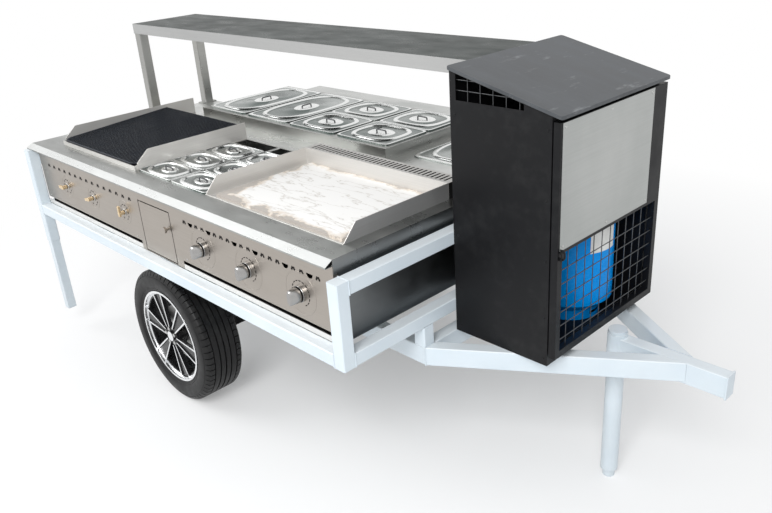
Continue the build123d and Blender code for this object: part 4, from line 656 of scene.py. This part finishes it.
def lathe(profile, steps, centre=(0.0, 0.0, 0.0)):
    """A ring-shaped body turned about the Y axis through the centre; the profile gives offset along Y and radius."""
    x, y, z = centre
    return skin([upright_oval((x, y + offset, z), radius, radius, steps) for offset, radius in profile], closed=True)


def block(length, width, height, edge=0.0):
    """A small block centred on the origin with its edges taken off."""
    build = bmesh.new()
    bmesh.ops.create_cube(build, size=1.0)
    bmesh.ops.scale(build, vec=(length, width, height), verts=build.verts)
    if edge:
        bmesh.ops.bevel(build, geom=build.edges[:], offset=edge, segments=1, affect="EDGES")
    return kept(build)


# Road wheels: offsets along the axle from the wheel's middle, and radii
TYRE_SIDEWALL = (
    (0.0735, 0.2113), (0.08, 0.215), (0.085, 0.2185), (0.087, 0.224), (0.0915, 0.233), (0.0905, 0.2355),
    (0.0935, 0.2385), (0.096, 0.248), (0.0973, 0.26), (0.0973, 0.272), (0.0962, 0.282), (0.0945, 0.288),
    (0.093, 0.2885), (0.0925, 0.2905),
)
TYRE_STEPS = 96
TREAD_RIBS = ((0.029, 0.054), (0.003, 0.024), (-0.024, -0.003), (-0.054, -0.029))
RIB_SLANT = 0.0008
TREAD_RADIUS = 0.315
GROOVE_RADIUS = 0.308
TYRE_SHOULDER = ((0.089, 0.296), (0.08, 0.305), (0.06, GROOVE_RADIUS))
TYRE_LINING = ((-0.069, 0.296), (0.069, 0.296))
SHOULDER_BLOCKS = 64
SHOULDER_BLOCK_SHARE = 0.86
SHOULDER_PROFILE = (
    (0.058, 0.305), (0.058, 0.315), (0.076, 0.3143), (0.0815, 0.3115), (0.0885, 0.302), (0.092, 0.294),
    (0.0905, 0.293),
)
HUB_FACE = 0.074
NUT_COUNT = 5
NUT_CIRCLE = 0.0365
NUT_RADIUS = 0.0095
NUT_TIP_RADIUS = 0.0075
NUT_HEIGHT = 0.012
BRAKE_DISC_OFFSET = 0.02
BRAKE_DISC_PROFILE = ((-0.006, 0.128), (0.006, 0.128), (0.006, 0.052), (-0.006, 0.052))
VALVE_TURN = radians(-70)
VALVE_RADIUS = 0.0035


def tyre(name, node, body):
    """A road tyre with a bulging sidewall, four ribs and blocks over both shoulders."""
    low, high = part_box(node)
    centre = (low + high) / 2
    outer = list(TYRE_SIDEWALL + TYRE_SHOULDER)
    across = []
    for start, end in TREAD_RIBS:
        across += [(end, GROOVE_RADIUS), (end - RIB_SLANT, TREAD_RADIUS)]
        across += [(start + RIB_SLANT, TREAD_RADIUS), (start, GROOVE_RADIUS)]
    inner = [(-offset, radius) for offset, radius in reversed(outer)]
    carcass = lathe(outer + across + inner + list(TYRE_LINING), TYRE_STEPS, centre)
    slices = []
    for step in (-1, 0, 1):
        lean = pi / SHOULDER_BLOCKS * SHOULDER_BLOCK_SHARE * step
        slices.append([(radius * sin(lean), offset, radius * cos(lean)) for offset, radius in SHOULDER_PROFILE])
    turns = []
    for angle, between in zip(around(SHOULDER_BLOCKS), around(SHOULDER_BLOCKS, 0.5)):
        turns += [(0.0, angle, 0.0), (0.0, -between, pi)]
    rubber = FINISHES["tyre_rubber"]
    blocks = copies(name + "_shoulders", skin(slices), [centre] * len(turns), turns, rubber)
    instead(merged(name, [plain_mesh(name + "_carcass", [carcass], rubber), blocks], rubber), node, body)


def wheel_trim(name, node, body, side):
    """Wheel nuts in a dark hub recess, a tyre valve and a brake disc behind the spokes."""
    low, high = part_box(node)
    x, y, z = (low + high) / 2
    face = y + side * HUB_FACE
    build = bmesh.new()
    bmesh.ops.create_cone(
        build, cap_ends=True, segments=6, radius1=NUT_RADIUS, radius2=NUT_TIP_RADIUS, depth=NUT_HEIGHT,
    )
    nut = kept(build)
    places = []
    for angle in around(NUT_COUNT, 0.35):
        places.append((x + NUT_CIRCLE * cos(angle), face + side * 0.003, z + NUT_CIRCLE * sin(angle)))
    turns = [(pi / 2 * side, 0.0, 0.0)] * NUT_COUNT
    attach(copies(name + "_nuts", nut, places, turns, BOLT), body)
    disc = lathe(BRAKE_DISC_PROFILE, 48, (x, y + side * BRAKE_DISC_OFFSET, z))
    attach(plain_mesh(name + "_brake_disc", [disc], BOLT), body)
    valve = []
    for radius, offset in ((0.206, -0.004), (0.192, 0.016)):
        valve.append((x + radius * cos(VALVE_TURN), face + side * offset, z + radius * sin(VALVE_TURN)))
    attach(tubes(name + "_valve", [valve], VALVE_RADIUS, FINISHES["tyre_rubber"]), body)


# Pan lids, from the rim inwards
LID_EDGE = (  # share of the half length, share of the half width, rise, squareness
    (1.0, 1.0, 0.0, 16.0), (1.0, 1.0, 0.004, 16.0), (0.99, 0.985, 0.0052, 16.0),
    (0.955, 0.935, 0.0052, 14.0), (0.94, 0.912, 0.003, 12.0), (0.925, 0.89, 0.003, 10.0),
)
LID_RING = (  # widening, rise, squareness
    (0.0055, 0.003, 3.2), (0.002, 0.0082, 3.1), (0.0, 0.0094, 3.0), (-0.008, 0.0094, 2.9), (-0.0125, 0.003, 2.8),
)
LID_DISH = ((1.16, 0.003), (1.02, 0.0075), (0.86, 0.008), (0.74, 0.0054), (0.3, 0.005))  # share, rise
HANDLE_REACH = 0.029
HANDLE_PATH = ((-1.0, 0.003), (-1.0, 0.0125), (-0.8, 0.016), (0.8, 0.016), (1.0, 0.0125), (1.0, 0.003))
HANDLE_RADIUS = 0.0034


def pan_lid(centre, half_length, half_width, underside, ring_share, dish):
    """A pressed lid: rolled edge, a raised oval ring and a small raised dish in the middle for the handle."""
    rings = []
    for long_share, wide_share, rise, squareness in LID_EDGE:
        half_sizes = half_length * long_share, half_width * wide_share
        rings.append(level_oval(centre, *half_sizes, underside + rise, squareness))
    for widening, rise, squareness in LID_RING:
        half_sizes = half_length * ring_share + widening, half_width * ring_share + widening
        rings.append(level_oval(centre, *half_sizes, underside + rise, squareness))
    for share, rise in LID_DISH:
        rings.append(level_oval(centre, dish[0] * share, dish[1] * share, underside + rise, 2.1))
    return skin(rings)


def lids(name, node, rows):
    """Lids over every pan of one counter well, with their bar handles."""
    shells = []
    handles = []
    for x, y, half_length, half_width, underside, ring_share, dish in rows:
        shells.append(pan_lid((x, y), half_length, half_width, underside, ring_share, dish))
        long_x, long_y = (HANDLE_REACH, 0.0) if half_length > half_width else (0.0, HANDLE_REACH)
        handles.append([(x + long_x * share, y + long_y * share, underside + rise) for share, rise in HANDLE_PATH])
    instead(plain_mesh(name, shells, FINISHES["pan_steel"]), node)
    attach(tubes(name + "_handles", handles, HANDLE_RADIUS, FINISHES["mesh_wire"]), "trailer")


# Cooking grate
GRATE_FRONT_Z = 1.0665
GRATE_BACK_Z = 1.1035
GRATE_CORNER = 0.045
GRATE_EDGE = 0.006
BAR_PITCH = 0.018
RIM_RADIUS = 0.0052
BAR_RADIUS = 0.0036
CROSSER_RADIUS = 0.004
CROSSER_DROP = 0.0055
CROSSER_SHARES = (0.12, 0.31, 0.5, 0.69, 0.88)
WIRE_SHARE = 0.42  # a mesh wire's radius over the square one's width


def grate(node):
    """Sloping cooking grate: a round-cornered frame with fine bars from front to back over five cross rods."""
    low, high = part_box(node)
    iron = FINISHES["grate_iron"]
    left, right, back = low.x + GRATE_EDGE, high.x - GRATE_EDGE, high.y - GRATE_EDGE

    def on_slope(x, y, drop=0.0):
        rise = (GRATE_BACK_Z - GRATE_FRONT_Z) * (y - low.y) / (high.y - low.y)
        return x, y, GRATE_FRONT_Z + rise - drop

    rim = []
    for centre_x, start in ((low.x + GRATE_CORNER, 180), (high.x - GRATE_CORNER, 270)):
        for step in range(9):
            angle = radians(start + 90 * step / 8)
            x = centre_x + (GRATE_CORNER - GRATE_EDGE) * cos(angle)
            y = low.y + GRATE_CORNER + (GRATE_CORNER - GRATE_EDGE) * sin(angle)
            rim.append(on_slope(x, y, 0.001))
    rim += [on_slope(right, back, 0.001), on_slope(left, back, 0.001), rim[0]]
    count = int((right - left) / BAR_PITCH)
    bars = []
    for number in range(count):
        x = (low.x + high.x) / 2 + (number - (count - 1) / 2) * BAR_PITCH
        reach = min(x - low.x, high.x - x)
        inset = GRATE_EDGE
        if reach < GRATE_CORNER:
            square = (GRATE_CORNER - GRATE_EDGE) ** 2 - (GRATE_CORNER - reach) ** 2
            inset = GRATE_CORNER - sqrt(max(0.0, square))
        bars.append([on_slope(x, low.y + inset), on_slope(x, back)])
    crossers = []
    for share in CROSSER_SHARES:
        y = low.y + (high.y - low.y) * share
        crossers.append([on_slope(left, y, CROSSER_DROP), on_slope(right, y, CROSSER_DROP)])
    parts = [
        tubes("grate_rim", [rim], RIM_RADIUS, iron),
        tubes("grate_bars", bars, BAR_RADIUS, iron, 6),
        tubes("grate_crossers", crossers, CROSSER_RADIUS, iron, 6),
    ]
    instead(merged("cooking_grate", parts, iron), node)


def round_wires(name, node, body="trailer"):
    """Round wire in place of every straight square one of a node."""
    build = bmesh.new()
    build.from_mesh(nodes[node].data)
    bmesh.ops.remove_doubles(build, verts=build.verts, dist=0.00002)
    left = set(build.verts)
    paths = []
    radius = 1.0
    while left:
        waiting = [left.pop()]
        reached = set(waiting)
        while waiting:
            vertex = waiting.pop()
            joined = {edge.other_vert(vertex) for edge in vertex.link_edges} - reached
            reached |= joined
            waiting += joined
        left -= reached
        corners = [nodes[node].matrix_world @ vertex.co for vertex in reached]
        low = Vector([min(along) for along in zip(*corners)])
        high = Vector([max(along) for along in zip(*corners)])
        size = high - low
        long_axis = max(range(3), key=lambda axis: size[axis])
        radius = min(radius, min(size) * WIRE_SHARE)
        start = (low + high) / 2
        end = start.copy()
        start[long_axis] = low[long_axis]
        end[long_axis] = high[long_axis]
        paths.append([start, end])
    build.free()
    instead(tubes(name, paths, radius, FINISHES["mesh_wire"]), node, body)


# Gas locker
LOCKER_X = (0.765, 1.184)
LOCKER_Y = (-0.322, 0.299)
ROOF_REAR_Z = 1.548
ROOF_FRONT_Z = 1.446
ROOF_OVERHANG = 0.007
ROOF_LEVELS = ((0.003, 0.0), (0.003, -0.0078), (0.0, -0.0078), (0.0, 0.0018), (0.0009, 0.0029))  # inset, rise
CYLINDER_MIDDLE = Vector((0.979, 0.073, 0.0))
LABEL_RADIUS = 0.1503
LABEL_THICKNESS = 0.0009
LABEL_LOW_Z = 0.885
LABEL_TOP_Z = 0.982
LABEL_STEPS = 24
LATCH_Y = -0.312
LATCH_RADIUS = 0.003
LATCH_PATH = ((1.187, 1.03), (1.1985, 1.03), (1.203, 1.022), (1.203, 1.008), (1.1985, 1.0), (1.183, 1.0))


def roof_sheet(node):
    """Sloping sheet with folded edges over the gas locker."""
    slope = (ROOF_FRONT_Z - ROOF_REAR_Z) / (LOCKER_X[1] - LOCKER_X[0])
    centre = (sum(LOCKER_X) / 2, sum(LOCKER_Y) / 2)
    half_length = (LOCKER_X[1] - LOCKER_X[0]) / 2 + ROOF_OVERHANG
    half_width = (LOCKER_Y[1] - LOCKER_Y[0]) / 2 + ROOF_OVERHANG
    rings = []
    for inset, rise in ROOF_LEVELS:
        ring = level_oval(centre, half_length - inset, half_width - inset, ROOF_REAR_Z + rise, 60.0, 40)
        rings.append([(x, y, z + (x - LOCKER_X[0]) * slope) for x, y, z in ring])
    instead(plain_mesh("locker_roof_sheet", [skin(rings)], FINISHES["roof_grey"]), node)


def cylinder_label():
    """Blank label round the gas cylinder's front."""
    thick, low, top = LABEL_THICKNESS, LABEL_LOW_Z, LABEL_TOP_Z
    rings = []
    for step in range(LABEL_STEPS + 1):
        angle = radians(-32 + 44 * step / LABEL_STEPS)
        outward = Vector((cos(angle), sin(angle), 0.0))
        corners = ((0.0, low), (thick, low), (thick, top), (0.0, top))
        rings.append([CYLINDER_MIDDLE + outward * (LABEL_RADIUS + lift) + Vector((0.0, 0.0, z)) for lift, z in corners])
    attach(plain_mesh("cylinder_label", [skin(rings)], LABEL), "trailer")


def latch_loop():
    """Padlock loop on the locker door's latch edge."""
    path = [(x, LATCH_Y, z) for x, z in LATCH_PATH]
    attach(tubes("latch_loop", [path], LATCH_RADIUS, FINISHES["locker_black"]), "locker_leaf")


# Screws, bolts and rivets
FACES = {
    "down": (pi, 0.0, 0.0),
    "cooks": (pi / 2, 0.0, 0.0),
    "guests": (-pi / 2, 0.0, 0.0),
    "hitch": (0.0, pi / 2, 0.0),
}
SCREW = (0.0042, 0.0022)  # radius, height
RIVET = (0.0038, 0.0019)
HANGER_BOLT = (0.017, 0.008)  # across the flats, height
CLAMP_NUT = (0.017, 0.009)
SIGN_FACE_X = 1.1858
SIGN_SCREW_MARGIN = 0.014
RIVETS_Z = (0.63, 0.78, 0.98, 1.18, 1.4)
FAR_RIVETS_Y = 0.2987
PANEL_SCREWS_X = (-1.535, -0.627, -0.223, 0.662)
PANEL_SCREWS_Z = (0.785, 1.005)
HANGER_FACE = 0.0285
HANGER_BOLT_Z = 0.47
CLAMP_HALF_WIDTH = 0.031
CLAMP_LOW_Z = 0.262
CLAMP_TOP_Z = 0.384
CLAMP_ARCH = 0.012
CLAMP_ROD_RADIUS = 0.005
CLAMP_NUT_Z = 0.272
CLAMP_PLATE = (0.15, 0.084, 0.006, 0.0012)
AXLE_X = -0.53
CLAMP_PLATE_Z = 0.2725


def head(rings, sides):
    """A head that stands along Z, from rings of a radius and a height."""
    return skin([[(radius * cos(turn), radius * sin(turn), z) for turn in around(sides)] for radius, z in rings])


def screw(radius, height):
    """A low domed screw head."""
    rings = ((radius, 0.0), (radius, height * 0.45), (radius * 0.8, height * 0.85), (radius * 0.35, height))
    return head(rings, 12)


def hex_bolt(across, height):
    """A hexagon head with its top edge taken off."""
    return head(((across * 0.577, 0.0), (across * 0.577, height * 0.8), (across * 0.5, height)), 6)


def heads(name, kind, places, face, finish=BOLT, body="trailer"):
    """Screw or bolt heads set on a face at the places given."""
    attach(copies(name, kind, places, [FACES[face]] * len(places), finish), body)


def locker_fixings():
    """Screws of the door's plate and rivets down the locker's sides."""
    low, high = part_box("door_sign")
    margin = SIGN_SCREW_MARGIN
    columns = (low.y + margin, (low.y + high.y) / 2, high.y - margin)
    places = [(SIGN_FACE_X, y, z) for y in columns for z in (low.z + margin, high.z - margin)]
    heads("sign_screws", screw(*SCREW), places, "hitch", body="locker_leaf")
    side_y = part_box("locker_body")[0].y + 0.0003
    for name, y, columns, face in (
        ("locker_side_rivets", side_y, (0.785, 1.14), "cooks"),
        ("locker_far_rivets", FAR_RIVETS_Y, (0.785, 1.13), "guests"),
    ):
        places = [(x, y, z) for x in columns for z in RIVETS_Z]
        heads(name, screw(*RIVET), places, face, FINISHES["locker_black"])


def frame_fixings():
    """Screws of the front panels, and bolts and clamps of the leaf springs."""
    places = [(x, PANEL_Y + 0.0002, z) for x in PANEL_SCREWS_X for z in PANEL_SCREWS_Z]
    heads("front_panel_screws", screw(*SCREW), places, "cooks")
    for name, rail_y, side, face in (
        ("hanger_bolts_near", RAILS_Y[0], -1, "cooks"),
        ("hanger_bolts_far", RAILS_Y[1], 1, "guests"),
    ):
        places = [(x, rail_y + side * HANGER_FACE, HANGER_BOLT_Z) for x in HANGERS_X]
        heads(name, hex_bolt(*HANGER_BOLT), places, face)
    angles = [pi * (8 - step) / 8 for step in range(9)]
    arch = [(CLAMP_HALF_WIDTH * cos(angle), CLAMP_ARCH * sin(angle)) for angle in angles]
    clamps = []
    nuts = []
    for rail_y in RAILS_Y:
        near, far = rail_y - CLAMP_HALF_WIDTH, rail_y + CLAMP_HALF_WIDTH
        for x in CLAMPS_X:
            over = [(x, rail_y + across, CLAMP_TOP_Z + rise) for across, rise in arch]
            clamps.append([(x, near, CLAMP_LOW_Z), *over, (x, far, CLAMP_LOW_Z)])
            nuts += [(x, near, CLAMP_NUT_Z), (x, far, CLAMP_NUT_Z)]
    steel = FINISHES["spring_steel"]
    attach(tubes("spring_clamps", clamps, CLAMP_ROD_RADIUS, steel), "trailer")
    heads("clamp_nuts", hex_bolt(*CLAMP_NUT), nuts, "down")
    places = [(AXLE_X, rail_y, CLAMP_PLATE_Z) for rail_y in RAILS_Y]
    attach(copies("clamp_plates", block(*CLAMP_PLATE), places, [(0.0, 0.0, 0.0)] * 2, steel), "trailer")


# Weld beads: the tubes' faces that they run along
TRAY_Z = (0.684, 0.734)
TOP_RAIL_Z = (0.941, 0.991)
POSTS_X = (-1.575, 0.715)
POSTS_Y = ((-0.858, -0.808), (0.8592, 0.812))
ENDS_X = ((0.765, 0.715), (-1.6222, -1.575))
CROSS_ENDS_Y = (-0.808, 0.812)
CHASSIS_Z = (0.534, 0.606)
CHASSIS_FACES_Y = (-0.4915, -0.4415, 0.4455, 0.4955)
WELD_RADIUS = 0.0026


def weld_seams():
    """Weld beads where the frame's tubes meet."""
    over = ((0, 0), (0, 1), (1, 1), (1, 0))
    seams = []
    for x in POSTS_X:
        seams += [[(x, faces_y[side], TRAY_Z[end]) for side, end in over] for faces_y in POSTS_Y]
    for faces_x in ENDS_X:
        for y in CROSS_ENDS_Y:
            seams += [[(faces_x[side], y, heights[end]) for side, end in over] for heights in (TRAY_Z, TOP_RAIL_Z)]
    for y in CHASSIS_FACES_Y:
        seams.append([(ENDS_X[0][0], y, z) for z in CHASSIS_Z])
    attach(tubes("weld_seams", seams, WELD_RADIUS, FINISHES["frame_paint"], 7), "trailer")


# Front panels
DIAL_MARK = (0.01, 0.0014, 0.0032)
RING_Y = -0.8078
RING_TUBE_RADIUS = 0.0022
WASHER_PROFILE = ((-0.003, 0.015), (-0.0042, 0.0135), (0.0004, 0.0135), (0.0004, 0.015))
# Size of each dark mark painted as shade round a slot
SLOT_SHADE_MARK = (0.008, 0.0012, 0.015)
SLOT_Z = 0.953
SLOT_OFFSET = 0.0055
SLOT_LEAN = radians(28)
GRILLER_MIDDLE_X = -1.081
GRILLER_PITCH = 0.0592
GRIDDLE_MIDDLE_X = 0.232
GRIDDLE_PITCH = 0.0426
KNOB_SECTIONS = (  # how far it stands out, half width, half height
    (0.0, 0.03, 0.03), (0.0108, 0.03, 0.03), (0.012, 0.029, 0.029), (0.012, 0.02, 0.02),
    (0.0165, 0.02, 0.02), (0.0165, 0.0255, 0.0262), (0.018, 0.0265, 0.0272), (0.024, 0.0262, 0.0276),
    (0.034, 0.0215, 0.0282), (0.044, 0.015, 0.0284), (0.05, 0.0118, 0.0272), (0.0525, 0.0092, 0.025),
)
KNOB_STEPS = 36
# Profile of the dark ring painted as shade on each knob's bezel
KNOB_SHADE_PROFILE = ((-0.0117, 0.0288), (-0.0124, 0.0284), (-0.0124, 0.019), (-0.0117, 0.019))


def dials():
    """Dashed dial marks and pressed rings round the knobs and gas cocks, and the cocks' washers."""
    places = []
    turns = []
    rings = []
    for columns, z, mark_circle, marks, ring_radius, steps in (
        (KNOBS_X, KNOBS_Z, 0.045, 15, 0.079, 48),
        (COCKS_X, COCKS_Z, 0.034, 10, 0.052, 40),
    ):
        for x in columns:
            for number in range(marks):
                angle = radians(-150 + 300 * number / (marks - 1))
                places.append((x + mark_circle * sin(angle), PANEL_Y, z + mark_circle * cos(angle)))
                turns.append((0.0, angle, 0.0))
            ring = [(x + ring_radius * sin(turn), RING_Y, z + ring_radius * cos(turn)) for turn in around(steps)]
            rings.append(ring + ring[:1])
    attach(copies("dial_marks", block(*DIAL_MARK), places, turns, MARK_AND_SHADE), "trailer")
    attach(tubes("pressed_rings", rings, RING_TUBE_RADIUS, FASCIA), "trailer")
    washers = [lathe(WASHER_PROFILE, 28, (x, PANEL_Y, COCKS_Z)) for x in COCKS_X]
    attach(plain_mesh("cock_washers", washers, BOLT), "trailer")


def slot_lips():
    """Dark marks round the pairs of leaning slots along the front panels, painted shade for the slots' dark insides."""
    pairs = [GRILLER_MIDDLE_X + GRILLER_PITCH * (number - 6.5) for number in range(15)]
    pairs += [GRIDDLE_MIDDLE_X + GRIDDLE_PITCH * (number - 10) for number in range(20) if number % 7 not in (1, 4)]
    places = []
    turns = []
    for x in pairs:
        for side in (-1, 1):
            places.append((x + side * SLOT_OFFSET, PANEL_Y, SLOT_Z))
            turns.append((0.0, -side * SLOT_LEAN, 0.0))
    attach(copies("slot_lips", block(*SLOT_SHADE_MARK), places, turns, MARK_AND_SHADE), "trailer")


def griddle_knobs(node):
    """Knobs with a round bezel whose face carries a dark ring of painted shade, a neck and a body that narrows to an
    upright grip.
    """
    knobs = []
    for x in KNOBS_X:
        sections = [((x, PANEL_Y - proud, KNOBS_Z), *half_sizes) for proud, *half_sizes in KNOB_SECTIONS]
        knobs.append(skin([upright_oval(*section, KNOB_STEPS) for section in sections]))
    # Painted shade: a thin dark ring on each bezel's face
    faces = [lathe(KNOB_SHADE_PROFILE, KNOB_STEPS, (x, PANEL_Y, KNOBS_Z)) for x in KNOBS_X]
    instead(plain_mesh("round_knobs", knobs, FINISHES["knob_steel"]), node)
    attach(plain_mesh("knob_faces", faces, MARK_AND_SHADE), "trailer")


def photograph_camera():
    """The camera that took the photograph."""
    camera = placed("camera", bpy.data.cameras.new("camera"))
    camera.data.lens = CAMERA_LENS
    camera.data.sensor_width = CAMERA_SENSOR
    turn = Matrix.Rotation(CAMERA_TURN - pi / 2, 4, "Z") @ Matrix.Rotation(CAMERA_TILT + pi / 2, 4, "X")
    camera.matrix_world = Matrix.Translation(CAMERA_PLACE) @ turn @ Matrix.Rotation(CAMERA_ROLL, 4, "Z")
    bpy.context.scene.camera = camera


def soft_light(name, place, size, power):
    """A square lamp turned towards the trailer."""
    lamp = bpy.data.lights.new(name, "AREA")
    lamp.size = size
    lamp.energy = power
    holder = placed(name, lamp)
    holder.location = place
    holder.rotation_euler = (LAMP_AIM - Vector(place)).to_track_quat("-Z", "Y").to_euler()


def seen(tree):
    """1 where the camera sees the surroundings, straight, in metal or through glass, and 0 where they only light."""
    rays = add_node(tree, "ShaderNodeLightPath").outputs
    share = rays["Is Camera Ray"]
    for ray in ("Is Glossy Ray", "Is Transmission Ray"):
        share = add_node(tree, "ShaderNodeMath", {0: share, 1: rays[ray]}, operation="MAXIMUM").outputs[0]
    return share


def white_room():
    """Even pale surroundings, pure white where they are seen."""
    world = bpy.data.worlds.new("white_room")
    world.use_nodes = True
    tree = world.node_tree
    room = tree.nodes["Background"]
    room.inputs["Color"].default_value = ROOM_COLOUR
    room.inputs["Strength"].default_value = ROOM_LIGHT
    white = add_node(tree, "ShaderNodeBackground", {"Color": WHITE})
    mix = add_node(tree, "ShaderNodeMixShader", {0: seen(tree), 1: room.outputs[0], 2: white.outputs[0]})
    tree.links.new(mix.outputs[0], tree.nodes["World Output"].inputs["Surface"])
    bpy.context.scene.world = world


def pale_floor():
    """A wide floor, pale near the trailer and white further out."""
    corners = [(x * FLOOR_REACH, y * FLOOR_REACH, 0) for x, y in ((-1, -1), (1, -1), (1, 1), (-1, 1))]
    mesh = drawn(corners, faces=[(0, 1, 2, 3)])
    pale = Finish("pale_floor", (0.93, 0.93, 0.93), 0.9, specular_ior_level=0.1)
    flat = pale.add("ShaderNodeMapping", {"Vector": pale.place, "Scale": (1.0, 1.0, 0.0)}).outputs["Vector"]
    distance = pale.add("ShaderNodeVectorMath", {0: flat}, operation="LENGTH").outputs["Value"]
    share = pale.times(pale.spread(distance, 1.0, 3.6, 0.25, 1.0), seen(pale.tree))
    white = pale.add("ShaderNodeEmission", {"Color": WHITE, "Strength": 1.0})
    mix = pale.add("ShaderNodeMixShader", {0: share, 1: pale.shader.outputs[0], 2: white.outputs[0]})
    pale.tree.links.new(mix.outputs[0], pale.tree.nodes["Material Output"].inputs["Surface"])
    mesh.materials.append(pale.material)
    placed("floor", mesh)


dress_nodes()
tyre("road_tyre_near", "tyre_near", "wheel_near")
tyre("road_tyre_far", "tyre_far", "wheel_far")
wheel_trim("near_wheel", "rim_near", "wheel_near", -1)
wheel_trim("far_wheel", "rim_far", "wheel_far", 1)
lids("front_pan_lids", "front_lids", FRONT_LIDS)
lids("rear_pan_lids", "rear_lids", REAR_LIDS)
grate("grill_grate")
round_wires("door_grille", "door_mesh", "locker_leaf")
round_wires("vent_grille", "locker_vent_mesh")
roof_sheet("locker_roof")
locker_fixings()
frame_fixings()
weld_seams()
dials()
slot_lips()
griddle_knobs("griddle_knobs")
cylinder_label()
latch_loop()
photograph_camera()
white_room()
for lamp_row in LAMPS:
    soft_light(*lamp_row)
pale_floor()

bpy.context.scene.view_settings.view_transform = "Standard"
